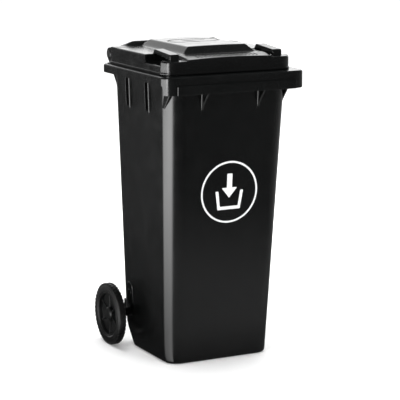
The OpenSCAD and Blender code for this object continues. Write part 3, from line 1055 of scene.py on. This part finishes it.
@dataclass
class LidShell:
    """The lid's moulding, as heights over a grid whose lines crowd where it turns."""

    at: Layout
    paint: Paintbox
    inset_side: float = 22 * MM
    inset_rear: float = 22 * MM
    front_radius: float = 43 * MM
    back_radius: float = 17 * MM
    skin: float = 3.5 * MM
    edge: float = 41 * MM
    crown: float = 8 * MM
    crown_half: float = 190 * MM
    deck: float = 53 * MM
    panel: float = 76 * MM
    apron: float = 58 * MM
    apron_swell: float = 0.35
    strip_edge: float = 7 * MM
    strip_rise: float = 2 * MM
    panel_half: float = 99 * MM
    panel_front: float = 93 * MM
    panel_back: float = 355 * MM
    panel_spread: float = 26 * MM
    pocket_in: float = 148 * MM
    pocket_front: float = 35 * MM
    pocket_back: float = 143 * MM
    pocket_floor: float = 27 * MM
    pocket_round: float = 3 * MM
    pocket_slope: float = 1 * MM
    panel_bulge: float = 1.2 * MM
    panel_round: float = 4 * MM
    panel_cove: float = 5 * MM
    ridge_half: float = 183 * MM
    ridge_radius: float = 15 * MM
    ridge_run: float = 62 * MM
    cove_run: float = 34 * MM
    mark_half: float = 44 * MM
    mark_radius: float = 40 * MM
    mark_back: float = 250 * MM
    mark_depth: float = 2.8 * MM
    mark_width: float = 11 * MM
    edge_radius: float = 5 * MM
    grip_in: float = 160 * MM
    grip_out: float = 191 * MM
    grip_front: float = 28 * MM
    grip_length: float = 108 * MM
    bar_half: float = 38 * MM
    bar_width: float = 4 * MM
    rib_count: int = 17
    rib_pitch: float = 12.5 * MM
    rib_run: Point = (15 * MM, 45 * MM)
    rib_half: float = 2.6 * MM
    rib_proud: float = 1.3 * MM
    eye_out: float = 171.5 * MM
    eye_width: float = 28 * MM
    eye_radius: float = 16 * MM
    pin_radius: float = 6.2 * MM
    half: float = field(init=False)
    depth: float = field(init=False)

    def __post_init__(self) -> None:
        """Works out the lid's half width and its depth."""
        self.half = self.at.rim_half - self.inset_side
        self.depth = self.at.rim_back - self.inset_rear - self.at.lid_front

    def place(self, u: float, v: float, grow: float, inset: float) -> Point:
        """Bends the grid's square corners into the lid's round ones.

        Args:
            u: the place across the lid, from its middle.
            v: the place behind the lid's front.
            grow: how far a point of the edge is pushed outwards.
            inset: how far the skin lies inside the lid's outside.

        Returns:
            The place in plan.
        """
        half, front, back = self.half - inset, inset, self.depth - inset
        side = 1 if u >= 0 else -1
        near_front = v < self.depth / 2
        radius = max((self.front_radius if near_front else self.back_radius) - inset, 1 * MM)
        a = abs(u) - (half - radius)
        b = (front + radius) - v if near_front else v - (back - radius)
        outward = -1 if near_front else 1
        y0 = self.at.lid_front
        if min(a, b) > TOUCH / 100:
            reach = max(a, b)
            turn = math.pi / 4 * (b / a if a >= b else 2 - a / b)
            reach += grow if reach > radius - TOUCH else 0
            x = side * (half - radius + reach * math.cos(turn))
            y = (front + radius if near_front else back - radius) + outward * reach * math.sin(turn)
            return x, y0 + y
        x, y = u, v
        if abs(u) > half - TOUCH:
            x += side * grow
        elif b > radius - TOUCH:
            y += outward * grow
        return x, y0 + y

    def deck_at(self, u: float, v: float) -> float:
        """The height of the apron, the side strips and the deck, without pocket or panel."""
        if v >= self.pocket_back - self.pocket_round:
            return self.deck
        low = self.edge + self.crown * max(0.0, 1 - (u / self.crown_half) ** 2)
        swell, run = self.apron_swell, v / self.apron
        deck = low + (self.deck - low) * (swell * eased(run) + (1 - swell) * min(run, 1))
        strip = self.edge + self.strip_rise * eased(v / self.pocket_front)
        share = eased((abs(u) - self.pocket_in) / self.strip_edge + 1)
        return deck + (strip - deck) * share

    def pocketed(self, away: float, top: float) -> float:
        """The height at a distance outside a pocket's wall, rounded at its top and its foot."""
        floor, bend, mid = self.pocket_floor, self.pocket_round, self.pocket_slope / 2
        if away <= -mid - bend:
            return floor
        if away < -mid:
            return floor + bend - math.sqrt(bend**2 - (bend + mid + away) ** 2)
        if away < mid:
            return floor + bend + (top - floor - 2 * bend) * (away + mid) / (2 * mid)
        if away < mid + bend:
            return top - bend + math.sqrt(bend**2 - (bend + mid - away) ** 2)
        return top

    def embossed(self, ground: float, u: float, v: float) -> float:
        """The outside's height with the panel's oval mark and the ridge across the back."""
        wide, back = abs(u), self.depth - self.ridge_radius
        mark = math.hypot(max(wide - self.mark_half, 0), v - self.mark_back)
        groove = abs(mark - self.mark_radius) / (self.mark_width / 2)
        ground -= self.mark_depth * (1 - eased(groove))
        bar = max(wide - self.bar_half, abs(v - self.mark_back) - self.bar_width)
        ground -= self.mark_depth * (1 - eased(bar / (2.5 * MM) + 0.5))
        full = eased((self.ridge_half + self.ridge_radius - wide) / self.ridge_run)
        off, sunk = abs(v - back), 4 * MM
        if off < self.ridge_radius:
            ridge = self.deck - sunk + full * (sunk + math.sqrt(self.ridge_radius**2 - off**2))
            ground = smooth_max(ground, ridge, 3 * MM)
        cove = v - back + self.cove_run
        if 0 < cove < self.cove_run + self.ridge_radius / 2:
            rise = full * 0.6 * self.ridge_radius * (cove / self.cove_run) ** 2
            ground = smooth_max(ground, self.deck + rise, 2 * MM)
        return ground

    def height(self, u: float, v: float, inset: float) -> float:
        """The height of the skin above the rim.

        Args:
            u: the place across the lid.
            v: the place behind the lid's front.
            inset: 0 for the outside and the skin's thickness for the inside.

        Returns:
            The height.
        """
        wide = abs(u)
        away = max(self.pocket_in - wide, self.pocket_front - v, v - self.pocket_back)
        ground = self.pocketed(away - inset, self.deck_at(u, v))
        near = min(self.half - inset - wide, v - inset, self.depth - inset - v)
        r = self.edge_radius - min(inset, 2 * MM)
        if near < r:
            ground -= r - math.sqrt(max(r * r - (r - max(near, 0)) ** 2, 0))
        fall = (self.panel - self.deck) / self.panel_spread
        out = max(wide - self.panel_half, self.panel_front - v, v - self.panel_back) + inset
        sag = self.panel_bulge * min(1, (u / self.panel_half) ** 2)
        panel = self.panel - sag - fall * soft_ramp(out, self.panel_round)
        ground = smooth_max(ground, panel, self.panel_cove)
        if inset == 0:
            ground = self.embossed(ground, u, v)
        return ground - inset

    def grid(self) -> tuple[list[float], list[float]]:
        """The grid's lines across the lid and from its front to its back."""
        edges = [k * MM for k in (0.3, 1, 2, 3.2, 4.5)]
        sides = [self.half - edge for edge in edges]
        turns = [self.pocket_in, self.panel_half, *sides[3:], self.ridge_half]
        wide = lines(0.0, self.half, turns, 5 * MM)
        wide = sorted({*wide, *sides, *(k * 2.2 * MM for k in range(1, 42))})
        reach = self.mark_back - self.mark_radius - 5 * MM
        fine = [reach + k * 1.8 * MM for k in range(52)]
        ridge, r = self.depth - self.ridge_radius, self.ridge_radius
        turns = [self.pocket_front, self.pocket_back, self.panel_front, self.panel_back, ridge - r]
        along = lines(0.0, self.depth, turns, 4 * MM)
        backs = [ridge + r * math.sin(math.radians(k)) for k in (20, 40, 55, 68, 78, 85)]
        along = sorted({*along, *edges, *backs, *fine})
        return self.thinned([-u for u in reversed(wide[1:])] + wide), self.thinned(along)

    def thinned(self, marks: Sequence[float]) -> list[float]:
        """The lines without those that nearly touch the one before."""
        out = [marks[0]]
        for mark in marks[1:-1]:
            if mark - out[-1] > FINE_GAP and marks[-1] - mark > EDGE_GAP:
                out.append(mark)
        return [*out, marks[-1]]

    def shifted(self, value: float, knots: Sequence[tuple[float, float]]) -> float:
        """A grid line's place on the inside, between knots of (outside, shift)."""
        for (a, sa), (b, sb) in zip(knots, knots[1:], strict=False):
            if value <= b:
                return value + sa + (sb - sa) * (value - a) / (b - a)
        return value + knots[-1][1]

    def build_skin(
        self, mesh: Mesh, inset: float, stations: Sequence[Point]
    ) -> dict[Vert, tuple[int, int]]:
        """Lays one skin and runs its edge down through stations.

        Args:
            mesh: the mesh to lay it in.
            inset: 0 for the outside and the skin's thickness for the inside.
            stations: pairs of (how far out, height above the rim) for the edge.

        Returns:
            The last loop's vertices, each with its place in the grid.
        """
        us, vs = self.grid()
        if inset > 0:
            t, h, d = inset, self.half, self.depth
            knots_u = [(-h, t), (-self.pocket_in, t), (self.pocket_in, -t), (h, -t)]
            knots_v = [(0, t), (self.pocket_front, -t), (self.pocket_back, t), (d, -t)]
            us = [self.shifted(u, knots_u) for u in us]
            vs = [self.shifted(v, knots_v) for v in vs]
        made = bmesh.ops.create_grid(
            mesh.bm, x_segments=len(us) - 1, y_segments=len(vs) - 1, size=1.0
        )["verts"]
        rim = {}
        for vert in made:
            i = round((vert.co.x + 1) / 2 * (len(us) - 1))
            j = round((vert.co.y + 1) / 2 * (len(vs) - 1))
            x, y = self.place(us[i], vs[j], 0.0, inset)
            vert.co = Vector((x, y, self.at.rim_top + self.height(us[i], vs[j], inset)))
            if vert.is_boundary:
                rim[vert] = (i, j)
        for out, high in stations:
            rim = self.extruded(mesh, rim)
            for vert, (i, j) in rim.items():
                x, y = self.place(us[i], vs[j], out, inset)
                vert.co = Vector((x, y, self.at.rim_top + high))
        return rim

    def extruded(self, mesh: Mesh, rim: dict[Vert, tuple[int, int]]) -> dict[Vert, tuple[int, int]]:
        """Extrudes an open edge.

        Args:
            mesh: the mesh that the edge belongs to.
            rim: the edge's vertices, each with its place in the grid.

        Returns:
            The new edge's vertices, each with the same place.
        """
        edges = list(dict.fromkeys(e for v in rim for e in v.link_edges if e.is_boundary))
        fresh = bmesh.ops.extrude_edge_only(mesh.bm, edges=edges)["geom"]
        verts = {g for g in fresh if isinstance(g, Vert)}
        return {
            edge.other_vert(vert): index
            for vert, index in rim.items()
            for edge in vert.link_edges
            if edge.other_vert(vert) in verts
        }

    def build_moulding(self) -> Piece:
        """Makes the lid's two skins and joins them round the lower edge."""
        mesh = Mesh()
        hem = ((0, 21), (0, 9), (0.3, 7.6), (1.5, 7), (1.9, 6.2), (1.9, 1.6), (1.4, 0.6))
        outer = self.build_skin(mesh, 0.0, mm((*hem, (0.4, 0.3))))
        inner = self.build_skin(mesh, self.skin, mm(((0, 14), (0, 0.3))))
        spots = {index: vert.co.copy() for vert, index in inner.items()}
        last = self.extruded(mesh, outer)
        for vert, index in last.items():
            vert.co = spots[index]
        bmesh.ops.remove_doubles(mesh.bm, verts=[*last, *inner], dist=TOUCH)
        return mesh.finish("lid_moulding", crease=38)

    def build_grips(self) -> Piece:
        """Makes the two grips as rounded bars over the pockets."""
        mesh = Mesh()
        front = (self.at.lid_front + self.grip_front, self.at.rim_top)
        back = (front[0] + self.grip_length, front[1])
        outline = [
            *mm(((-1, 36), (0, 60)), front),
            *mm(((0, 68), (14, 49), (5, 46), (-1, 54)), back),
            *mm(((14, 46), (8, 30)), front),
        ]
        profile = rounded(outline, 6 * MM, 5)
        mesh.twins(profile, self.grip_in, self.grip_out, 4 * MM)
        return mesh.finish("lid_grips")

    def build_eyes(self) -> Piece:
        """Makes the hinge eyes and the arms that carry them."""
        at = self.at
        mesh = Mesh()
        back, hinge = at.lid_front + self.depth - 2 * MM, (at.hinge_y, at.hinge_z)
        arm = [
            (back, at.rim_top + 5.5 * MM),
            (back, at.rim_top + self.deck - 5 * MM),
            *mm(((-5, 14.6), (-8, 0), (-5, -14.6)), hinge),
        ]
        inner, outer = self.eye_out - self.eye_width, self.eye_out
        mesh.twins(arm, inner + 1 * MM, outer - 1 * MM, 2 * MM)
        for side in (-1, 1):
            low, high = sorted((side * inner, side * outer))
            eye = [(low, self.pin_radius), (low, self.eye_radius)]
            eye += [(high, self.eye_radius), (high, self.pin_radius)]
            mesh.turned(rounded(eye, 1.5 * MM), Vector((0, *hinge)), 48)
        return mesh.finish("lid_hinge_eyes")

    def build_apron_ribs(self) -> Piece:
        """Makes the row of short raised ribs across the sloping apron."""
        mesh = Mesh()
        first, last = self.rib_run
        # the section as shares of the rib's half width and of how proud it is
        top = ((1, 0), (0.8, 0.75), (0.4, 1), (-0.4, 1), (-0.8, 0.75), (-1, 0))
        for i in range(self.rib_count):
            u = (i - self.rib_count // 2) * self.rib_pitch
            stations = []
            for k in range(9):
                along = 2 * k / 8 - 1
                v = first + (last - first) * k / 8
                proud = self.rib_proud * math.sqrt(max(1 - along**6, 0.0004))
                half = self.rib_half * math.sqrt(max(1 - along**8, 0.02))
                spot = Vector((u, self.at.lid_front + v, self.at.rim_top + self.height(u, v, 0.0)))
                section = [(-half, -1.5 * MM), (half, -1.5 * MM)]
                section += [(half * a, proud * b) for a, b in top]
                stations.append([spot + Vector((a, 0, b)) for a, b in section])
            mesh.loft(stations)
        return mesh.finish("apron_ribs")

    def build(self) -> list[Piece]:
        """Makes the lid's pieces and sets them on the lid's body."""
        fit = self.paint.fit
        return [
            fit(self.build_moulding(), Finish.SHELL, "lid", "shell", "lid"),
            fit(self.build_grips(), Finish.SHELL, "lid", "shell"),
            fit(self.build_eyes(), Finish.SHELL, "lid", "shell"),
            fit(self.build_apron_ribs(), Finish.SHELL, "lid", "shell"),
        ]


# --- Wheels and running gear ---


@dataclass
class Wheel:
    """One wheel: a lugged solid tyre on a ribbed disc, with a cap over its hub."""

    at: Layout
    paint: Paintbox
    side: str
    tyre_width: float = 26 * MM
    seat: float = 71 * MM
    lug_count: int = 44
    lug_depth: float = 1.6 * MM
    spokes: int = 6
    hub_radius: float = 20 * MM
    bore: float = 13 * MM
    cap_proud: float = 10 * MM

    @property
    def sign(self) -> int:
        """Which way is outwards along X."""
        return -1 if self.side == "left" else 1

    @property
    def centre(self) -> Vector:
        """The wheel's middle, on the axle."""
        middle = self.at.wheel_out - self.tyre_width / 2
        return Vector((self.sign * middle, self.at.axle_y, self.at.axle_z))

    def build_tyre(self) -> Piece:
        """Makes the tyre: a round-shouldered ring with a groove in each wall, and its lugs."""
        outer, half, seat = self.at.wheel_radius, self.tyre_width / 2, self.seat
        base = outer - self.lug_depth
        corners = [
            *mm(((3, 0), (0, 5)), (-half, seat)),
            *mm(((0, -9), (1.2, -8), (1.2, -6), (0.4, -5), (3, -1), (7, 0)), (-half, base)),
        ]
        profile = [*corners, *[(-x, r) for x, r in reversed(corners)]]
        mesh = Mesh()
        mesh.turned(rounded(profile, 2 * MM, 3), self.centre, 120)
        lugs = Mesh()
        pitch = math.tau * outer / self.lug_count
        lean = 0.16 * pitch
        root, start, end = base - 3 * MM, 1.5 * MM, half - 1.0 * MM
        wide, narrow = 0.3 * pitch, 0.26 * pitch
        block = [(-wide, root), (-narrow, outer), (narrow, outer), (wide, root)]
        for hand, shift in ((-1, 0.0), (1, 0.5)):
            stations = []
            for share, sink in ((0.0, 0.8), (0.05, 0.0), (0.75, 0.0), (0.93, 0.9), (1.0, 2.6)):
                x = hand * (start + (end - start) * share)
                slide = lean * (share - 0.5) * 2 * hand + shift * pitch
                section = []
                for a, r in rounded(block, 0.8 * MM, 2):
                    turn = (a + slide) / outer
                    reach = r - (sink * MM if r > base else 0)
                    section.append(Vector((x, reach * math.sin(turn), reach * math.cos(turn))))
                stations.append(section)
            lugs.loft(stations)
        bmesh.ops.translate(lugs.bm, verts=lugs.bm.verts, vec=self.centre)
        mesh.repeat(lugs, self.centre, self.lug_count)
        piece = mesh.finish(f"lugged_tyre_{self.side}", weighted=False)
        return self.fit(piece, Finish.RUBBER, "tyre", "tyre")

    def fit(self, piece: Piece, finish: Finish, slot: str, node: str) -> Piece:
        """Coats a piece and sets it on this wheel, for this side's node of a kind."""
        body = f"wheel_{self.side}"
        return self.paint.fit(piece, finish, body, slot, f"{node}_{self.side}")

    def build_disc(self) -> Piece:
        """Makes the disc: barrel, dished web, hub and spokes."""
        s, mesh = self.sign, Mesh()
        seat, hub = self.seat - 0.05 * MM, self.hub_radius
        bore = self.bore + 0.1 * MM
        barrel = mm(((-11, 0), (11, 0), (11, -4), (2, -5.5), (-11, -4)), (0.0, seat))
        web = [
            *mm(((1.2, -4), (0.2, -12)), (0.0, seat)),
            *mm(((-2.5, 12), (-5, -1), (-9, -1), (-6.5, 12)), (0.0, hub)),
            *mm(((-3.8, -12), (-2.8, -4)), (0.0, seat)),
        ]
        core = [
            (-29.5 * MM, bore),
            *mm(((-29.5, -3), (-12, 0), (0.5, 0)), (0.0, hub)),
            (0.5 * MM, bore),
        ]
        for profile, edge in ((barrel, 1.5 * MM), (web, 3 * MM), (core, 1.5 * MM)):
            mesh.turned([(s * x, r) for x, r in rounded(profile, edge, 3)], self.centre, 96)
        spoke = Mesh()
        # how far from the axle, and the section's half width and height in millimetres
        sections = (
            (hub + 2.6 * MM, 3.4, 3.4), (hub + 6 * MM, 2.6, 3), (hub + 20 * MM, 2.2, 2.6),
            (seat - 12 * MM, 2.2, 3.6), (seat - 3 * MM, 3.2, 5),
        )
        stations = []
        for reach, half, out in sections:
            section = mm(((-half - 1, -7), (-half, out), (half, out), (half + 1, -7)))
            section = rounded(section, 1.4 * MM, 3)
            stations.append([self.centre + Vector((s * x, a, reach)) for a, x in section])
        spoke.loft(stations)
        mesh.repeat(spoke, self.centre, self.spokes)
        piece = mesh.finish(f"ribbed_disc_{self.side}")
        return self.fit(piece, Finish.WHEEL, "wheel_plastic", "wheel_disc")

    def build_cap(self) -> Piece:
        """Makes the domed cap over the hub's outer end."""
        low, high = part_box(f"hub_cap_{self.side}")
        s, radius = self.sign, (high[2] - low[2]) / 2
        ends = (low[0], high[0]) if s > 0 else (high[0], low[0])
        near, far = (end - self.centre.x for end in ends)
        wall, dome, core = radius - 1.9 * MM, radius - 9 * MM, 0.02 * MM
        profile = [
            (near, wall), (near, radius), (far - s * 4 * MM, radius),
            (far - s * 0.8 * MM, radius - 4 * MM), (far, dome), (far, core),
            (far - s * 2 * MM, core), (far - s * 2 * MM, dome), (far - s * 5 * MM, wall),
        ]
        mesh = Mesh()
        mesh.turned(rounded(profile, 1 * MM, 3), self.centre, 72)
        piece = mesh.finish(f"domed_cap_{self.side}")
        return self.fit(piece, Finish.WHEEL, "wheel_plastic", "hub_cap")

    def build(self) -> list[Piece]:
        """Makes the wheel's pieces."""
        return [self.build_tyre(), self.build_disc(), self.build_cap()]


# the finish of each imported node, by the start of its name
NODE_FINISHES = {
    "hinge_pin": Finish.FITTING,
    "spacer": Finish.FITTING,
    "bush": Finish.BUSH,
    "axle": Finish.STEEL,
    "inner_washer": Finish.STEEL,
    "outer_washer": Finish.STEEL,
    "retaining_ring": Finish.STEEL,
    "body": Finish.SHELL,
    "lid": Finish.SHELL,
    "wheel_disc": Finish.WHEEL,
    "hub_cap": Finish.WHEEL,
    "tyre": Finish.RUBBER,
}


@dataclass
class RunningGear:
    """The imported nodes: pins, axle, spacers, bushes and washers show as they are."""

    frame: dict
    paint: Paintbox

    def dress(self) -> list[Piece]:
        """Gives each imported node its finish."""
        nodes = self.frame["nodes"]
        for name, obj in nodes.items():
            for start, finish in NODE_FINISHES.items():
                if name.startswith(start):
                    self.paint.coat(obj, finish)
        return list(nodes.values())


# --- The studio ---


@dataclass(frozen=True)
class SoftBox:
    """One soft box: where it hangs, its width and height, and its power in watts."""

    name: str
    at: tuple[float, float, float]
    size: tuple[float, float]
    power: float
    mirrored: bool = False


@dataclass
class Studio:
    """A pale floor, a pale surround, soft boxes and the camera."""

    eye: tuple[float, float, float] = (-2.505, -4.874, 1.536)
    target: tuple[float, float, float] = (-0.0176, -0.0548, 0.4919)
    lens: float = 158.4
    clip: float = 100.0
    floor_radius: float = 14.0
    floor_drop: float = 0.2 * MM
    floor_tone: str = "#f2f2f2"
    # the floor's glow: from and to these distances, from and to these strengths
    floor_glow: tuple[float, float, float, float] = (0.5, 2.2, 0.12, 0.95)
    mirror_drop: float = 0.6 * MM
    mirror_shift: tuple[float, float, float] = (0.17, 0.16, 0.0)
    # the mirrored sheet's brightness, from -X round by the front, the right and the back
    mirror_stops: tuple[Point, ...] = (
        (0.0, 0.95), (0.062, 1.0), (0.092, 0.09), (0.125, 0.02), (0.30, 0.008), (0.60, 0.05),
        (0.78, 0.014), (0.845, 0.012), (0.88, 0.5), (1.0, 0.95),
    )
    # how it brightens with distance, and its glow near the bin's foot, in front only
    mirror_rise: tuple[float, float, float, float] = (0.3, 2.2, 2.6, 8.6)
    mirror_near: tuple[float, float, float, float] = (0.8, 1.7, 0.34, 0.0)
    mirror_front: tuple[float, float] = (0.05, -0.25)
    # the surround: its bright patch behind the bin, which fades sideways and upward
    behind: tuple[float, float, float] = (0.459, 0.889, 0.0)
    behind_glow: tuple[float, float, float, float] = (0.6, 0.88, 0.0, 1.8)
    behind_height: tuple[float, float, float, float] = (0.72, 0.4, 0.0, 1.0)
    dim: float = 0.12
    white: float = 1.05
    aim: tuple[float, float, float] = (0, 0, 0.5)
    boxes: tuple[SoftBox, ...] = (
        SoftBox("left_box", (-3.4, -1.75, 1.5), (0.9, 2.6), 60, mirrored=True),
        SoftBox("overhead", (0.2, 0.3, 4.0), (3.5, 3.5), 260),
        SoftBox("fill", (1.5, -4.0, 2.5), (2.0, 2.0), 60),
    )

    def lay(self, name: str, drop: float, graph: Graph) -> Piece:
        """Lays a round sheet a little under the bin, in a graph's material."""
        mesh = Mesh()
        bmesh.ops.create_circle(mesh.bm, cap_ends=True, segments=96, radius=self.floor_radius)
        bmesh.ops.translate(mesh.bm, verts=mesh.bm.verts, vec=(0, 0, -drop))
        sheet = mesh.finish(name, weighted=False)
        sheet.data.materials.append(graph.owner)
        return sheet

    def build_floor(self) -> None:
        """Lays the pale floor: it glows further out, so that it fades into the surround."""
        graph = Graph(bpy.data.materials.new("pale_floor"))
        place = graph.add("TexCoord").outputs["Object"]
        away = graph.add("VectorMath", (place,), operation="LENGTH")
        inputs = {
            "Base Color": linear(self.floor_tone),
            "Roughness": 0.9,
            "Specular IOR Level": 0.1,
            "Emission Color": WHITE,
            "Emission Strength": graph.add("MapRange", (away, *self.floor_glow)),
        }
        graph.add("OutputMaterial", {"Surface": graph.add("BsdfPrincipled", inputs)})
        self.lay("studio_floor", self.floor_drop, graph).visible_glossy = False

    def build_reflector(self) -> None:
        """Lays the sheet that the glossy plastic mirrors: bright to the left and behind."""
        graph = Graph(bpy.data.materials.new("mirrored_floor"))
        corner = graph.add("TexCoord").outputs["Object"]
        place = graph.add("VectorMath", (corner, self.mirror_shift), operation="ADD")
        x, y, _ = graph.add("SeparateXYZ", (place,)).outputs
        angle = graph.add("Math", (y, x), operation="ARCTAN2")
        share = graph.add("MapRange", (angle, -math.pi, math.pi))
        ramp = graph.add("ValToRGB", (share,))
        points = ramp.color_ramp.elements
        while len(points) < len(self.mirror_stops):
            points.new(0.5)
        for point, (spot, value) in zip(points, self.mirror_stops, strict=True):
            point.position = spot
            point.color = (value, value, value, 1)
        far = graph.add("VectorMath", (place,), operation="LENGTH")
        near = graph.add("MapRange", (far, *self.mirror_near))
        ahead = graph.add("MapRange", (y, *self.mirror_front))
        foot = graph.add("Math", (near, ahead), operation="MULTIPLY")
        rise = graph.add("MapRange", (far, *self.mirror_rise))
        total = graph.add("Math", (ramp, rise, foot), operation="MULTIPLY_ADD")
        glow = graph.add("Emission", {"Strength": total})
        graph.add("OutputMaterial", {"Surface": glow})
        sheet = self.lay("mirrored_floor", self.mirror_drop, graph)
        sheet.visible_camera = False
        sheet.visible_diffuse = False
        sheet.visible_shadow = False
        sheet.visible_transmission = False

    def build_world(self) -> None:
        """Sets the surround: white to the eye, bright behind and dim in front."""
        world = bpy.data.worlds.new("studio")
        bpy.context.scene.world = world
        graph = Graph(world)
        place = graph.add("TexCoord").outputs["Generated"]
        height = graph.add("SeparateXYZ", (place,)).outputs["Z"]
        facing = graph.add("VectorMath", (place, self.behind), operation="DOT_PRODUCT")
        behind = graph.add("MapRange", (facing, *self.behind_glow))
        low = graph.add("MapRange", (height, *self.behind_height))
        strength = graph.add("Math", (behind, low, self.dim), operation="MULTIPLY_ADD")
        seen = graph.add("LightPath").outputs["Is Camera Ray"]
        lit = graph.add("Background", (WHITE, strength))
        shown = graph.add("Background", (WHITE, self.white))
        graph.add("OutputWorld", {"Surface": graph.add("MixShader", (seen, lit, shown))})

    def hang(self, box: SoftBox) -> None:
        """Hangs one soft box, turned to the bin."""
        light = bpy.data.lights.new(box.name, "AREA")
        light.shape = "RECTANGLE"
        light.size, light.size_y = box.size
        light.energy = box.power
        obj = bpy.data.objects.new(box.name, light)
        obj.visible_glossy = box.mirrored
        self.point(obj, box.at, self.aim)

    def point(self, obj: Piece, at: tuple, target: tuple) -> None:
        """Puts a light or the camera in the scene, turned to a target."""
        obj.location = at
        obj.rotation_euler = (Vector(target) - Vector(at)).to_track_quat("-Z", "Y").to_euler()
        bpy.context.scene.collection.objects.link(obj)

    def build_camera(self) -> None:
        """Sets the camera at the object's front left, a little above it."""
        data = bpy.data.cameras.new("camera")
        data.lens = self.lens
        data.clip_end = self.clip
        camera = bpy.data.objects.new("camera", data)
        self.point(camera, self.eye, self.target)
        bpy.context.scene.camera = camera

    def build(self) -> None:
        """Makes the whole studio."""
        self.build_camera()
        self.build_floor()
        self.build_reflector()
        self.build_world()
        for box in self.boxes:
            self.hang(box)
        bpy.context.scene.view_settings.view_transform = "Standard"


# --- The whole ---


def report(label: str, pieces: Iterable[Piece]) -> None:
    """Logs what was made."""
    for piece in pieces:
        log.info("%s: %s, %d faces", label, piece.name, len(piece.data.polygons))


def main() -> None:
    """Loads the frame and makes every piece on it."""
    logging.basicConfig(level=logging.INFO, format="%(message)s")
    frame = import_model()
    paint = Paintbox()
    at = Layout.read(frame, band_proud=7 * MM, butt=0.3 * MM, rim_depth=470 * MM)
    body = BodyShell(at, paint)
    report("body", body.build())
    report("print", [Emblem(body, paint).build()])
    report("lid", LidShell(at, paint).build())
    for side in ("left", "right"):
        report("wheel", Wheel(at, paint, side).build())
    report("packed", RunningGear(frame, paint).dress())
    Studio().build()


if __name__ == "__main__":
    main()
